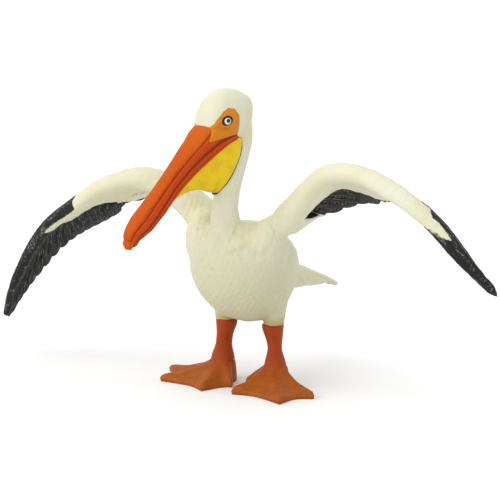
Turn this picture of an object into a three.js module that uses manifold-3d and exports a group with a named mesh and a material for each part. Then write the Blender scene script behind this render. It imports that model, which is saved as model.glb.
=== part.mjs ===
// Toy figure of an American white pelican, standing with its wings held out and drooping.
// Millimetres, +Z up. The bird faces -Y, its left side is +X, and the floor is z = 0.

import * as THREE from 'three';
import Module from 'manifold-3d';

const wasm = await Module();
wasm.setup();

// ---------------------------------------------------------------- driving dimensions

const GAP = 0.3; // clear gap between neighbouring pieces

// How finely each piece is faceted: strips along it, and sides or strips round it.
const FACETS = {
  trunk: { along: 18, round: 22 },
  shoulder: { along: 8, round: 12 },
  neck: { along: 18, round: 14 },
  skull: { along: 16, round: 16 },
  bill: { along: 18, round: 9 },
  pouch: { along: 12, round: 5 },
  eye: { along: 7, round: 10 },
  tail: { along: 6 },
  wing: { round: 6 },
  leg: { along: 8, round: 14 },
  foot: { degrees: 12 },
};
const NUDGE = 0.01; // small step along a curve, for its direction
const SLAB = 400; // size of the blocks that cut pieces at a plane

// Trunk stations from breast to rump: y, z, half width, height above, depth below.
const TRUNK = [
  [-18.6, 38.0, 0.6, 0.8, 0.8],
  [-17.2, 38.6, 6.6, 7.0, 8.0],
  [-13.0, 39.3, 12.0, 11.5, 14.0],
  [-8.0, 39.2, 14.3, 12.3, 17.4],
  [-2.0, 38.6, 14.6, 12.6, 18.8],
  [4.0, 37.8, 13.0, 12.4, 17.8],
  [9.5, 36.8, 10.2, 10.6, 14.2],
  [14.5, 35.8, 6.8, 7.2, 9.0],
  [18.0, 35.0, 3.6, 3.6, 4.6],
  [19.2, 34.8, 0.6, 0.6, 0.8],
];

const SHOULDER = { x: 11.6, y: -7, z: 45, radii: [5.4, 6, 7.5] };

// Neck stations from the breast to the skull: y, z, half width, half depth.
const NECK = [
  [-11.0, 32, 4.8, 5.6],
  [-12.2, 41, 4.6, 5.4],
  [-12.7, 50, 4.2, 4.7],
  [-12.4, 57, 3.8, 4.0],
  [-10.2, 63, 3.7, 3.8],
  [-7.3, 68.6, 3.6, 3.7],
  [-5.5, 74, 3.8, 3.9],
  [-5.7, 79, 3.9, 3.9],
];
const NECK_CUT = 52; // height of the cut between trunk and neck
const HEAD_CUT = 73; // height of the cut between neck and head

const HEAD = {
  pivot: [0, -4], // x and y of the line that the head is turned about
  turn: 13, // degrees that the bill points to the bird's right
};
// Skull stations from nape to forehead: forward, z, half width, height above, depth below.
const SKULL = [
  [-2.3, 82.3, 0.6, 0.7, 0.7],
  [-1.3, 82.3, 3.8, 3.9, 5.0],
  [1.6, 82.4, 5.5, 5.9, 8.4],
  [6.0, 82.3, 6.0, 6.9, 7.8],
  [10.4, 81.6, 5.6, 6.6, 6.6],
  [13.2, 79.9, 4.8, 5.9, 5.2],
  [14.8, 78.6, 3.8, 4.0, 4.0],
  [15.3, 78.0, 1.2, 1.0, 1.0],
];
// Bill stations along the mouth line: forward, z, half width, upper height, lower depth.
const BILL = [
  [5.0, 77.0, 4.6, 2.0, 1.8],
  [12.0, 74.8, 4.7, 4.5, 2.5],
  [17.6, 71.4, 4.1, 4.3, 2.6],
  [22.8, 67.2, 3.4, 3.6, 2.4],
  [28.0, 62.3, 3.2, 3.1, 2.1],
  [33.0, 57.2, 3.5, 2.9, 1.9],
  [37.4, 53.2, 3.7, 2.6, 1.6],
  [40.3, 50.6, 2.8, 2.1, 1.1],
  [41.6, 48.2, 1.6, 1.3, 1.0],
  [41.8, 46.9, 0.6, 0.5, 0.4],
];
const BILL_ENDS = {
  upper: [0.085, 1], // shares of the mouth line where each half starts and ends
  lower: [0.02, 0.93],
  gap: 0.006, // clear gap behind both, as such a share
  inset: 0.25, // how much narrower the lower half is, on either side
  square: 0.55, // how boxy the section is: 1 is round, 0 is square
};

// Pouch stations from neck to bill: the free lower edge's forward and z.
const POUCH_EDGE = [
  [11.6, 58.8],
  [13.6, 60.0],
  [18.2, 61.4],
  [24.0, 60.2],
  [29.5, 57.0],
];
const POUCH = {
  start: 0.04, // shares of the mouth line that the pouch hangs between
  reach: 0.6,
  atNeck: 3.3, // half width where it meets the neck
  inset: 1.1, // how much narrower it is than the bill, on either side
  edge: 0.55, // half width of the free lower edge
  rooted: 2.6, // how deep its back is set in the neck
  drift: 1.2, // how far its back stands to the left of the head's middle
};

const EYE = { aside: 4.45, forward: 10.2, height: 81.0, radius: 1.5 };

// Leading edge of each wing from shoulder to tip, as the middle line of the thick arm: x, y, z
// and pitch, the degrees that the trailing edge hangs lower.
const LEADING_LEFT = [
  [4, -1, 42.5, 0],
  [12, -2, 47, 6],
  [20, -4, 55.6, 22],
  [31.5, -8, 65.7, 34],
  [44, -12, 67.8, 34],
  [56, -14, 64.6, 17],
  [68, -14.5, 57.8, 17],
  [78, -13.5, 48.2, 19],
  [86, -12, 40.6, 30],
];
const LEADING_RIGHT = [
  [-4, -1, 42.5, 0],
  [-12, -2, 46.8, 8],
  [-20.5, -4.5, 54.4, 18],
  [-32, -9, 60.4, 18],
  [-44, -12.5, 57.8, 15],
  [-56, -14.5, 50.2, 12],
  [-68, -15, 41.5, 10],
  [-80, -13.5, 26.5, 10],
  [-87, -12, 13.5, 10],
];
// What both wings share, shoulder to tip: arm radius, chord behind the arm, and lean, the degrees
// that the feathers are swept towards the tip.
const WING = [
  [6.6, 3.5, 0],
  [6.0, 5, -6],
  [4.7, 10, -6],
  [3.5, 17, -4],
  [2.9, 17, 0],
  [2.6, 15.5, 6],
  [2.2, 13, 12],
  [1.8, 9, 20],
  [1.3, 2.2, 30],
];
const WRIST = 0.6; // share of the leading edge from shoulder to the cut between arm and hand
const FEATHERS = {
  thick: 1.1, // thickness of the blade of flight feathers
  count: 22, // flight feathers that scallop each trailing edge
  notch: 0.7, // depth of the notches between their tips
  bow: 0.09, // how far the blade bows up, as a share of its chord
  edge: 0.6, // width of the thinned trailing edge
  fade: 3.4, // arm radii over which the arm thins to the blade
};

const TAIL = {
  rootY: 13.5,
  rootZ: 35.0,
  length: 25, // along the slope to the middle of the fan's end
  slope: 25, // degrees down to the rear
  rootHalf: 5.8, // half widths of the fan at its root and its end
  endHalf: 10.5,
  above: 1.8, // thickness at the root over and under the slope's line
  below: 8.2,
  thin: 0.55, // the same at the feather ends
  lift: 0.3, // how far the sides stand above the middle
  rounding: 0.16, // how much shorter the outer feathers are, as a share
  feathers: 7,
  notch: 0.9, // depth of the notches between the feather ends
};

const LEG = {
  top: 28, // heights: inside the belly
  feathered: 18.8, // where the feathering ends and bare leg begins
  middle: 12, // where the shank is thinnest
  spread: 9, // where it starts to spread towards the foot
  ankle: 5.6, // where it meets the foot
  thigh: 2.9, // radii from the top down
  knee: 2.6,
  shank: 2.15,
  heel: 2.7,
  feathering: 0.25, // thickness of the thigh's feathers
};
// Each leg's place on the floor, how far it leans in towards its top, and how far its foot is
// turned out, in degrees.
const STANCE = {
  left: { x: 7.9, y: 1.6, lean: -0.5, out: 28 },
  right: { x: -8.9, y: -0.4, lean: 1.1, out: 40 },
};
// Toes of a foot: degrees out from its own middle line, and length.
const TOES = [
  [-92, 6.8],
  [-50, 15.2],
  [10, 20.1],
  [46, 20.4],
];
const FOOT = {
  web: 1.0, // thickness of the webs
  ridge: 1.1, // extra height along the toes
  toeWidth: 11, // degrees to either side that a toe's ridge spreads
  toeEnd: 0.65, // share of that height left at the toe's end
  heel: 3.6, // reach behind the leg
  heelTurn: 30, // degrees beyond the last toe over which the edge draws in to the heel
  webDip: 0.14, // how far a web's edge draws back between two toes
  flare: 3.8, // length over which the leg spreads into the foot
  rim: 0.63, // share of its height left at the foot's edge
  topRings: [0.12, 0.22, 0.36, 0.56, 0.8, 1], // shares of the reach
  soleRings: [1, 0.5],
};

// ---------------------------------------------------------------- curves

/** Smooth curve through rows of numbers, from the first row at t = 0 to the last at t = 1. */
function through(rows, t) {
  const last = rows.length - 1;
  const place = Math.min(Math.max(t, 0), 1) * last;
  const i = Math.min(Math.floor(place), last - 1);
  const f = place - i;
  const row = (k) => rows[Math.min(Math.max(k, 0), last)];
  return rows[0].map((_, k) => {
    const [a, b, c, d] = [row(i - 1)[k], row(i)[k], row(i + 1)[k], row(i + 2)[k]];
    const bend = 2 * a - 5 * b + 4 * c - d + f * (3 * (b - c) + d - a);
    return b + 0.5 * f * (c - a + f * bend);
  });
}

/** count + 1 even steps from 0 to 1. */
const steps = (count) => Array.from({ length: count + 1 }, (_, i) => i / count);

const lerp = THREE.MathUtils.lerp;
const smooth = THREE.MathUtils.smoothstep;
const radians = THREE.MathUtils.degToRad;

const LEFT = new THREE.Vector3(1, 0, 0);
const REAR = new THREE.Vector3(0, 1, 0);
const UP = new THREE.Vector3(0, 0, 1);
const DOWN = new THREE.Vector3(0, 0, -1);

// ---------------------------------------------------------------- solids

/** Solid from shared vertices (an array of Vector3) and triangles (triples of indices). */
function solid(points, triangles) {
  let volume = 0;
  for (const [a, b, c] of triangles) {
    volume += points[a].dot(new THREE.Vector3().crossVectors(points[b], points[c]));
  }
  const outward = volume > 0 ? triangles : triangles.map(([a, b, c]) => [a, c, b]);
  return new wasm.Manifold(new wasm.Mesh({
    numProp: 3,
    vertProperties: new Float32Array(points.flatMap((p) => [p.x, p.y, p.z])),
    triVerts: new Uint32Array(outward.flat()),
  }));
}

/** Closed solid through rings of points with equal counts, each end drawn in to its middle. */
function loft(rings) {
  const count = rings[0].length;
  const middle = (ring) => ring.reduce((sum, p) => sum.add(p), new THREE.Vector3()).divideScalar(count);
  const points = [...rings.flat(), middle(rings[0]), middle(rings.at(-1))];
  const last = (rings.length - 1) * count;
  const triangles = [];
  for (let j = 0; j < count; j++) {
    const k = (j + 1) % count;
    triangles.push([points.length - 2, k, j], [points.length - 1, last + j, last + k]);
    for (let a = 0; a < last; a += count) {
      triangles.push([a + j, a + k, a + count + k], [a + j, a + count + k, a + count + j]);
    }
  }
  return solid(points, triangles);
}

/** Ring of an oval that is up high and down low of its centre. */
function oval(centre, side, rise, half, up, down, count) {
  return steps(count).slice(1).map((t) => {
    const angle = 2 * Math.PI * t;
    const lift = Math.sin(angle) * (Math.sin(angle) > 0 ? up : down);
    return centre.clone().addScaledVector(side, half * Math.cos(angle)).addScaledVector(rise, lift);
  });
}

/** Everything on one side of the plane through a point, as a slab that is larger than the bird. */
function beyond(point, direction) {
  const box = new THREE.BoxGeometry(SLAB, SLAB, SLAB).translate(0, 0, SLAB / 2);
  box.applyQuaternion(new THREE.Quaternion().setFromUnitVectors(UP, direction));
  return fromGeometry(box.translate(point.x, point.y, point.z));
}

/** Solid from a closed three.js geometry, with its doubled corner points merged. */
function fromGeometry(geometry) {
  const place = geometry.getAttribute('position');
  const index = geometry.getIndex();
  const known = new Map();
  const points = [];
  const merged = Array.from({ length: place.count }, (_, i) => {
    const p = new THREE.Vector3().fromBufferAttribute(place, i);
    const key = [p.x, p.y, p.z].map((v) => Math.round(v * 1e5)).join();
    if (!known.has(key)) {
      known.set(key, points.length);
      points.push(p);
    }
    return known.get(key);
  });
  const triangles = [];
  for (let i = 0; i < index.count; i += 3) {
    const corners = [0, 1, 2].map((k) => merged[index.getX(i + k)]);
    if (new Set(corners).size === 3) triangles.push(corners);
  }
  return solid(points, triangles);
}

// ---------------------------------------------------------------- body, neck and tail

/** Trunk from breast to rump, grown by a margin where it cuts its neighbours. */
function trunkEgg(grow = 0) {
  return loft(steps(FACETS.trunk.along).map((t) => {
    const [y, z, half, up, low] = through(TRUNK, t);
    const centre = new THREE.Vector3(0, y + grow * (2 * t - 1), z);
    return oval(centre, LEFT, UP, half + grow, up + grow, low + grow, FACETS.trunk.round);
  }));
}

/** Bulge of the shoulder under each wing root. */
function shoulder(sign, grow = 0) {
  const [a, b, c] = SHOULDER.radii.map((radius) => radius + grow);
  const ball = new THREE.SphereGeometry(1, FACETS.shoulder.round, FACETS.shoulder.along).scale(a, b, c);
  return fromGeometry(ball.translate(sign * SHOULDER.x, SHOULDER.y, SHOULDER.z));
}

/** Neck from inside the breast to inside the skull. */
function neckTube(grow = 0) {
  const centre = (t) => {
    const [y, z] = through(NECK, t);
    return new THREE.Vector3(0, y, z);
  };
  return loft(steps(FACETS.neck.along).map((t) => {
    const along = centre(t + NUDGE).sub(centre(t - NUDGE)).normalize();
    const rise = LEFT.clone().cross(along);
    const [, , half, deep] = through(NECK, t);
    return oval(centre(t), LEFT, rise, half + grow, deep + grow, deep + grow, FACETS.neck.round);
  }));
}

/** Fan of the tail: an oval root that flattens to scalloped feather ends. */
function tailFan() {
  const slope = radians(TAIL.slope);
  const across = steps(TAIL.feathers * 2).map((s) => 2 * s - 1);
  return loft(steps(FACETS.tail.along).map((t) => {
    const half = lerp(TAIL.rootHalf, TAIL.endHalf, t ** 0.8);
    const full = (1 - t) ** 1.3;
    const point = (s, sign) => {
      const between = 1 - Math.abs(Math.sin((Math.PI / 2) * TAIL.feathers * (s + 1)));
      const run = t * (TAIL.length * (1 - TAIL.rounding * s * s) - TAIL.notch * between * t ** 4);
      const thick = lerp(TAIL.thin, sign > 0 ? TAIL.above : TAIL.below, full);
      const oval = Math.sqrt(1 - lerp(0.98, 0.75, t) * Math.abs(s) ** lerp(2, 4, t));
      return new THREE.Vector3(
        s * half,
        TAIL.rootY + run * Math.cos(slope),
        TAIL.rootZ - run * Math.sin(slope) + TAIL.lift * s * s + sign * thick * oval,
      );
    };
    return [...across.map((s) => point(s, 1)), ...across.toReversed().map((s) => point(s, -1))];
  }));
}

// ---------------------------------------------------------------- head, bill and pouch

const turn = radians(HEAD.turn);
const AHEAD = new THREE.Vector3(-Math.sin(turn), -Math.cos(turn), 0); // way the head faces
const ASIDE = new THREE.Vector3(Math.cos(turn), -Math.sin(turn), 0); // the head's own left
/** Point of the head from its own left, forward and height. */
function headPoint(left, forward, height) {
  return new THREE.Vector3(HEAD.pivot[0], HEAD.pivot[1], height)
    .addScaledVector(ASIDE, left)
    .addScaledVector(AHEAD, forward);
}

/** Skull from nape to the base of the bill. */
function skull(grow = 0) {
  return loft(steps(FACETS.skull.along).map((t) => {
    const [forward, height, half, up, down] = through(SKULL, t);
    const at = headPoint(0, forward, height);
    return oval(at, ASIDE, UP, half + grow, up + grow, down + grow, FACETS.skull.round);
  }));
}

/** Place and directions of the mouth line at t, with the bill's sizes there. */
function mouth(t) {
  const point = (s) => {
    const [forward, height] = through(BILL, s);
    return headPoint(0, forward, height);
  };
  const along = point(t + NUDGE).sub(point(t - NUDGE)).normalize();
  const [, , half, up, down] = through(BILL, t);
  return { centre: point(t), rise: new THREE.Vector3().crossVectors(along, ASIDE), half, up, down };
}

/** Upper or lower half of the bill: flat at the mouth, boxy with rounded edges away from it. */
function mandible(upper, grow = 0) {
  const sign = upper ? 1 : -1;
  const [start, end] = upper ? BILL_ENDS.upper : BILL_ENDS.lower;
  const from = grow > 0 ? start - BILL_ENDS.gap : start;
  return loft(steps(FACETS.bill.along).map((t) => {
    const { centre, rise, half, up, down } = mouth(lerp(from, end, t));
    const deep = upper ? up : down;
    const wide = half - (upper ? 0 : BILL_ENDS.inset) + grow;
    const lip = centre.clone().addScaledVector(rise, sign * (GAP / 2 - grow));
    return steps(FACETS.bill.round).map((s) => {
      const angle = Math.PI * s;
      const out = Math.sign(Math.cos(angle)) * Math.abs(Math.cos(angle)) ** BILL_ENDS.square;
      return lip.clone()
        .addScaledVector(ASIDE, wide * out)
        .addScaledVector(rise, sign * (deep + 2 * grow) * Math.sin(angle) ** BILL_ENDS.square);
    });
  }));
}

/** Pouch hanging between the lower bill and the front of the neck, its back set in the neck. */
function pouchBag(grow = 0) {
  const section = (t, back) => {
    const { centre, rise, half, down } = mouth(lerp(POUCH.start, POUCH.reach, t));
    const shift = AHEAD.clone().multiplyScalar(-back);
    const top = centre.clone().addScaledVector(rise, -down / 2).add(shift);
    const [forward, height] = through(POUCH_EDGE, t);
    const drop = headPoint(0, forward, height).add(shift).sub(top);
    drop.addScaledVector(drop.clone().normalize(), grow);
    const wide = lerp(POUCH.atNeck, half - POUCH.inset, smooth(t, 0, 0.5));
    const fullness = lerp(5, 1, smooth(t, 0, 0.6)); // a slab at the neck, a wedge under the bill
    const flank = (sign, s) => top.clone()
      .addScaledVector(drop, s)
      .addScaledVector(ASIDE, POUCH.drift * (1 - t) ** 2 * Math.min(1, 3 * s))
      .addScaledVector(ASIDE, sign * (grow + lerp(wide, POUCH.edge, s ** fullness)));
    const depths = steps(FACETS.pouch.round);
    return [...depths.map((s) => flank(1, s)), ...depths.toReversed().map((s) => flank(-1, s))];
  };
  return loft([section(0, POUCH.rooted), ...steps(FACETS.pouch.along).map((t) => section(t, 0))]);
}

/** Eyeball, mostly sunk in the side of the head. */
function eyeball(sign, grow = 0) {
  const at = headPoint(sign * EYE.aside, EYE.forward, EYE.height);
  const ball = new THREE.SphereGeometry(EYE.radius + grow, FACETS.eye.round, FACETS.eye.along);
  return fromGeometry(ball.translate(at.x, at.y, at.z));
}

// ---------------------------------------------------------------- wings

/** Frame of a wing at t: middle of the arm, span, chord and upward directions, and sizes. */
function wingFrame(leading, t) {
  const point = (s) => new THREE.Vector3(...through(leading, s).slice(0, 3));
  const pitch = radians(through(leading, t)[3]);
  const [radius, chord, leanDegrees] = through(WING, t);
  const lean = radians(leanDegrees);
  const span = point(t + NUDGE).sub(point(t - NUDGE)).normalize();
  const aft = REAR.clone().addScaledVector(span, -span.y).normalize();
  const over = new THREE.Vector3().crossVectors(span, aft);
  if (over.z < 0) over.negate();
  const back = aft.clone().multiplyScalar(Math.cos(pitch)).addScaledVector(over, -Math.sin(pitch));
  back.multiplyScalar(Math.cos(lean)).addScaledVector(span, Math.sin(lean));
  const rise = over.clone().multiplyScalar(Math.cos(pitch)).addScaledVector(aft, Math.sin(pitch));
  return { centre: point(t), span, back, rise, radius, chord };
}

/** Half thickness of a wing at a distance behind the front of its arm. */
function wingHalf(distance, radius, width) {
  const thin = FEATHERS.thick / 2;
  const roundTo = (share) => Math.sqrt(Math.max(0, 1 - Math.max(0, 1 - share) ** 2));
  const fade = 1 - smooth(distance, radius, radius * FEATHERS.fade);
  const edge = lerp(0.5, 1, roundTo((width - distance) / FEATHERS.edge));
  return lerp(thin, radius, fade) * roundTo(distance / radius) * edge;
}

/** Whole wing: a thick arm along the leading edge and a blade of flight feathers behind it. */
function wingSolid(leading) {
  return loft(steps(FEATHERS.count * 2).map((t) => {
    const { centre, back, rise, radius: arm, chord } = wingFrame(leading, t);
    const radius = t < 1 ? arm : arm / 2;
    const width = radius + chord;
    const between = 1 - Math.abs(Math.sin(Math.PI * FEATHERS.count * t));
    const notch = FEATHERS.notch * between * smooth(t, 0.15, 0.35) * (1 - smooth(t, 0.93, 1));
    const across = steps(FACETS.wing.round).map((s) => {
      const distance = width * s ** 1.7 - notch * s ** 6;
      return Math.max(distance, 0.04 * radius);
    });
    const point = (distance, sign) => {
      const bow = FEATHERS.bow * chord * Math.sin((Math.PI * distance) / width);
      return centre.clone()
        .addScaledVector(back, distance - radius)
        .addScaledVector(rise, sign * wingHalf(distance, radius, width) + bow);
    };
    return [...across.map((d) => point(d, 1)), ...across.toReversed().map((d) => point(d, -1))];
  }));
}

/** The wing on the near side of its wrist cut (the arm) or beyond it (the hand). */
function wingPart(whole, leading, hand) {
  const { centre, span } = wingFrame(leading, WRIST);
  const face = hand ? span.clone().negate() : span;
  return whole.subtract(beyond(centre.addScaledVector(span, hand ? GAP / 2 : -GAP / 2), face));
}

// ---------------------------------------------------------------- legs and feet

/** Round leg between two heights: feathered thigh, bare shank, and a spread towards the foot. */
function legTube(place, low, high) {
  const radiusAt = (z) => {
    if (z > LEG.feathered) {
      return LEG.feathering + lerp(LEG.knee, LEG.thigh, smooth(z, LEG.feathered, LEG.top));
    }
    const bare = lerp(LEG.shank, LEG.knee, smooth(z, LEG.middle, LEG.feathered));
    return lerp(LEG.heel, bare, smooth(z, LEG.ankle, LEG.spread));
  };
  return loft(steps(FACETS.leg.along).map((t) => {
    const z = lerp(low, high, t);
    const radius = radiusAt(z);
    const lean = place.lean * smooth(z, LEG.ankle, LEG.feathered);
    const at = new THREE.Vector3(place.x + lean, place.y, z);
    return oval(at, LEFT, REAR, radius, radius, radius, FACETS.leg.round);
  }));
}

/** How far a foot's edge is from the leg at an angle from the foot's middle line. */
function footReach(angle) {
  const [firstAngle, firstLength] = TOES[0];
  const [lastAngle, lastLength] = TOES.at(-1);
  const outside = Math.max(firstAngle - angle, angle - lastAngle);
  if (outside > 0) {
    const length = angle < firstAngle ? firstLength : lastLength;
    return lerp(length, FOOT.heel, Math.sqrt(smooth(outside, 0, FOOT.heelTurn)));
  }
  const i = Math.max(1, TOES.findIndex(([toe]) => toe >= angle));
  const [before, short] = TOES[i - 1];
  const [after, long] = TOES[i];
  const [turned, left] = [radians(angle - before), radians(after - angle)];
  const straight = (short * long * Math.sin(turned + left))
    / (short * Math.sin(turned) + long * Math.sin(left));
  const f = (angle - before) / (after - before);
  return straight * (1 - FOOT.webDip * 4 * f * (1 - f));
}

/** Webbed foot with a flat sole, and a neck that the leg stands on. */
function footSolid(place, mirror) {
  const angles = steps(360 / FACETS.foot.degrees).slice(1).map((t) => 360 * t - 180);
  const point = (angle, share, top) => {
    const distance = share * footReach(angle);
    const nearness = TOES.map(([toe]) => Math.exp(-(((angle - toe) / FOOT.toeWidth) ** 2)));
    const plate = FOOT.web + FOOT.ridge * Math.max(...nearness) * lerp(1, FOOT.toeEnd, share);
    const neck = Math.exp(-Math.max(0, distance - LEG.heel) / FOOT.flare);
    const rim = lerp(1, FOOT.rim, smooth(share, 0.9, 1));
    const heading = mirror * radians(place.out + angle);
    return new THREE.Vector3(
      place.x + distance * Math.sin(heading),
      place.y - distance * Math.cos(heading),
      top ? rim * lerp(plate, LEG.ankle - GAP, neck) : 0,
    );
  };
  const tops = FOOT.topRings.map((share) => angles.map((a) => point(a, share, true)));
  const soles = FOOT.soleRings.map((share) => angles.map((a) => point(a, share, false)));
  return loft([...tops, ...soles]);
}

// ---------------------------------------------------------------- materials

const finish = (color, roughness) => new THREE.MeshStandardMaterial({ color, roughness, metalness: 0 });
const IVORY = finish('#ded9b4', 0.55);
const INK = finish('#373b36', 0.6);
const ORANGE = finish('#c8512a', 0.5);
const YELLOW = finish('#d8bd2c', 0.5);
const RUST = finish('#b0552a', 0.6);
const GLOSS = finish('#1b1b1b', 0.3);

// ---------------------------------------------------------------- assembly

const bird = new THREE.Group();

/** Add a solid to the bird as a named mesh. */
function add(name, piece, material) {
  const mesh = piece.getMesh();
  const geometry = new THREE.BufferGeometry();
  geometry.setAttribute('position', new THREE.BufferAttribute(new Float32Array(mesh.vertProperties), 3));
  geometry.setIndex([...mesh.triVerts]);
  const node = new THREE.Mesh(geometry, material);
  node.name = name;
  bird.add(node);
}

const level = (z) => new THREE.Vector3(0, 0, z);
const sides = [
  { side: 'left', sign: 1, leading: LEADING_LEFT, place: STANCE.left },
  { side: 'right', sign: -1, leading: LEADING_RIGHT, place: STANCE.right },
];

const egg = trunkEgg().add(shoulder(1)).add(shoulder(-1));
const eggCut = trunkEgg(GAP).add(shoulder(1, GAP)).add(shoulder(-1, GAP));
const neck = neckTube();
const neckCut = neckTube(GAP);
const pouchCut = pouchBag(GAP);

let trunk = egg.add(neck.subtract(beyond(level(NECK_CUT), UP)));
for (const { place } of sides) trunk = trunk.add(legTube(place, LEG.feathered, LEG.top));
add('trunk', trunk, IVORY);

add('tail', tailFan().subtract(eggCut), IVORY);

const upperNeck = neck
  .subtract(beyond(level(NECK_CUT + GAP), DOWN))
  .subtract(beyond(level(HEAD_CUT), UP))
  .subtract(skull(GAP))
  .subtract(pouchCut)
  .subtract(eggCut);
add('neck', upperNeck, IVORY);

const billCut = mandible(true, GAP).add(mandible(false, GAP));
const nape = neck.subtract(beyond(level(HEAD_CUT + GAP), DOWN));
let head = skull().add(nape).subtract(billCut).subtract(pouchCut);
for (const { sign } of sides) head = head.subtract(eyeball(sign, GAP));
add('head', head, IVORY);
add('bill_upper', mandible(true), ORANGE);
add('bill_lower', mandible(false), ORANGE);
add('pouch', pouchBag().subtract(billCut), YELLOW);

for (const { side, sign, leading, place } of sides) {
  add(`eye_${side}`, eyeball(sign), GLOSS);
  const whole = wingSolid(leading).subtract(eggCut).subtract(neckCut);
  add(`wing_${side}_arm`, wingPart(whole, leading, false), IVORY);
  add(`wing_${side}_hand`, wingPart(whole, leading, true), INK);
  add(`leg_${side}`, legTube(place, LEG.ankle, LEG.feathered - GAP), RUST);
  add(`foot_${side}`, footSolid(place, sign), RUST);
}

// The object's own origin: the middle of its footprint box, on the floor.
const bounds = new THREE.Box3().setFromObject(bird);
const centre = bounds.getCenter(new THREE.Vector3());
bird.position.set(-centre.x, -centre.y, -bounds.min.z);

export default bird;
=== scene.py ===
"""Looks of a hand-painted vinyl pelican figure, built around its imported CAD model.

Shapes are worked out in millimetres in the bird's own axes (it faces -Y, its left is +X and the
floor is z = 0) and put into metres in the CAD frame when they become a mesh.
"""

import bpy
import numpy as np
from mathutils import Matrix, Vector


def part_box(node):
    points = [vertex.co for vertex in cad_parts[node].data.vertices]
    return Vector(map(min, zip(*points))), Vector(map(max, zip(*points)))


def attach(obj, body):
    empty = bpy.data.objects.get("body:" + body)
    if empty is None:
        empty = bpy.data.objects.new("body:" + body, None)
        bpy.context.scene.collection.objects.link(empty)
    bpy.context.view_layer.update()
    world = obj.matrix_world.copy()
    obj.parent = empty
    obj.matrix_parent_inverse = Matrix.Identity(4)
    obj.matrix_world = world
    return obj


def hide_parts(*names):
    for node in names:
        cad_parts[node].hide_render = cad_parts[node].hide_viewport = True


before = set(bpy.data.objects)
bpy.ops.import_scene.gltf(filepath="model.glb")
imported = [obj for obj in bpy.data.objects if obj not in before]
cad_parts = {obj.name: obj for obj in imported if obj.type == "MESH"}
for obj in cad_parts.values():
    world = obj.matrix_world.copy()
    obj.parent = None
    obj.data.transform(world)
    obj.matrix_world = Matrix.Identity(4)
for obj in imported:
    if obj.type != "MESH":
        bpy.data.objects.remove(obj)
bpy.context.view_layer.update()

bl_info = {
    "name": "Painted Pelican Figure",
    "version": (1, 0, 0),
    "blender": (4, 5, 0),
    "location": "3D View > Sidebar > Pelican",
    "description": "Builds the skin, feathers, bill, eyes and feet of a moulded pelican figure",
    "category": "Object",
}

MM = 0.001
BODY = "root"
BREAST = -18.6  # the breast's foremost point in the bird's own axes

TRUNK_LOW, TRUNK_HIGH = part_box("trunk")
# From the bird's own axes to the CAD frame, in metres.
SHIFT = np.array([(TRUNK_LOW.x + TRUNK_HIGH.x) / 2, TRUNK_LOW.y - BREAST * MM, 0.0])

SIDES = {"left": 1, "right": -1}  # the bird's own sides, and the sign of x there
UP = np.array([0.0, 0.0, 1.0])
LEFT = np.array([1.0, 0.0, 0.0])
BACK = np.array([0.0, 1.0, 0.0])

# ------------------------------------------------------------------ sizes, in millimetres

# Rows from breast to rump: y, z, half width, height above and below.
TRUNK = [
    [-18.6, 38.0, 0.6, 0.8, 0.8],
    [-17.2, 38.6, 6.6, 7.0, 8.0],
    [-13.0, 39.3, 12.0, 11.5, 14.0],
    [-8.0, 39.2, 14.3, 12.3, 17.4],
    [-2.0, 38.6, 14.6, 12.6, 18.8],
    [4.0, 37.8, 13.0, 12.4, 18.0],
    [9.5, 36.8, 10.3, 10.6, 15.0],
    [14.5, 35.8, 6.8, 7.2, 9.8],
    [18.0, 35.0, 3.6, 3.6, 4.6],
    [19.2, 34.8, 0.6, 0.6, 0.8],
]
SHOULDER = {"place": (11.6, -7.0, 44.2), "radii": (5.5, 6.1, 8.6)}

# Rows up the neck: y, z, half width, half depth.
NECK = [
    [-11.0, 32.0, 4.8, 5.6],
    [-12.2, 41.0, 4.6, 5.4],
    [-12.7, 50.0, 4.2, 4.7],
    [-12.4, 57.0, 3.8, 4.0],
    [-10.2, 63.0, 3.7, 3.8],
    [-7.3, 68.6, 3.6, 3.7],
    [-5.5, 74.0, 3.8, 3.9],
    [-5.7, 79.0, 3.9, 3.9],
]

HEAD_PIVOT = np.array([0.0, -4.0, 0.0])
HEAD_TURN = np.radians(13)
AHEAD = np.array([-np.sin(HEAD_TURN), -np.cos(HEAD_TURN), 0.0])
ASIDE = np.array([np.cos(HEAD_TURN), -np.sin(HEAD_TURN), 0.0])
# Rows from nape to forehead: forward, height, half width, height above and below.
SKULL = [
    [-1.8, 82.3, 0.6, 0.7, 0.7],
    [-0.85, 82.3, 3.4, 3.9, 5.0],
    [1.6, 82.4, 5.1, 5.9, 8.4],
    [6.0, 82.3, 6.0, 7.1, 7.8],
    [10.4, 81.6, 5.8, 6.9, 6.6],
    [13.2, 79.9, 5.0, 6.2, 5.2],
    [14.8, 78.6, 3.8, 4.0, 4.0],
    [15.3, 78.0, 1.2, 1.0, 1.0],
]
# Rows along the mouth line: forward, height, half width, depth of the upper and lower half.
BILL = [
    [5.0, 77.0, 4.6, 2.0, 1.8],
    [12.0, 75.2, 5.2, 4.6, 2.9],
    [17.6, 72.0, 4.2, 3.2, 3.2],
    [22.8, 67.8, 3.4, 2.5, 3.0],
    [28.0, 62.8, 3.2, 2.3, 2.6],
    [33.0, 57.5, 3.5, 2.6, 2.2],
    [37.4, 53.2, 3.7, 2.6, 1.6],
    [40.3, 50.6, 2.8, 2.1, 1.1],
    [41.6, 48.3, 1.75, 1.4, 1.0],
    [41.8, 46.9, 0.65, 0.55, 0.45],
]
BILL_ENDS = {"upper": (0.03, 1.0), "lower": (0.02, 0.93)}
BILL_LIP = 0.06  # half the gap between the halves
BILL_SQUARE = 0.5  # below 1 the section is boxy
UPPER_GROOVE = 0.77  # height of the side groove, as a share of a half's depth
LOWER_GROOVE = 0.55
LOWER_INSET = 0.25
NAIL = 0.855  # where the nail at the tip begins, as a share of the bill's length

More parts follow.
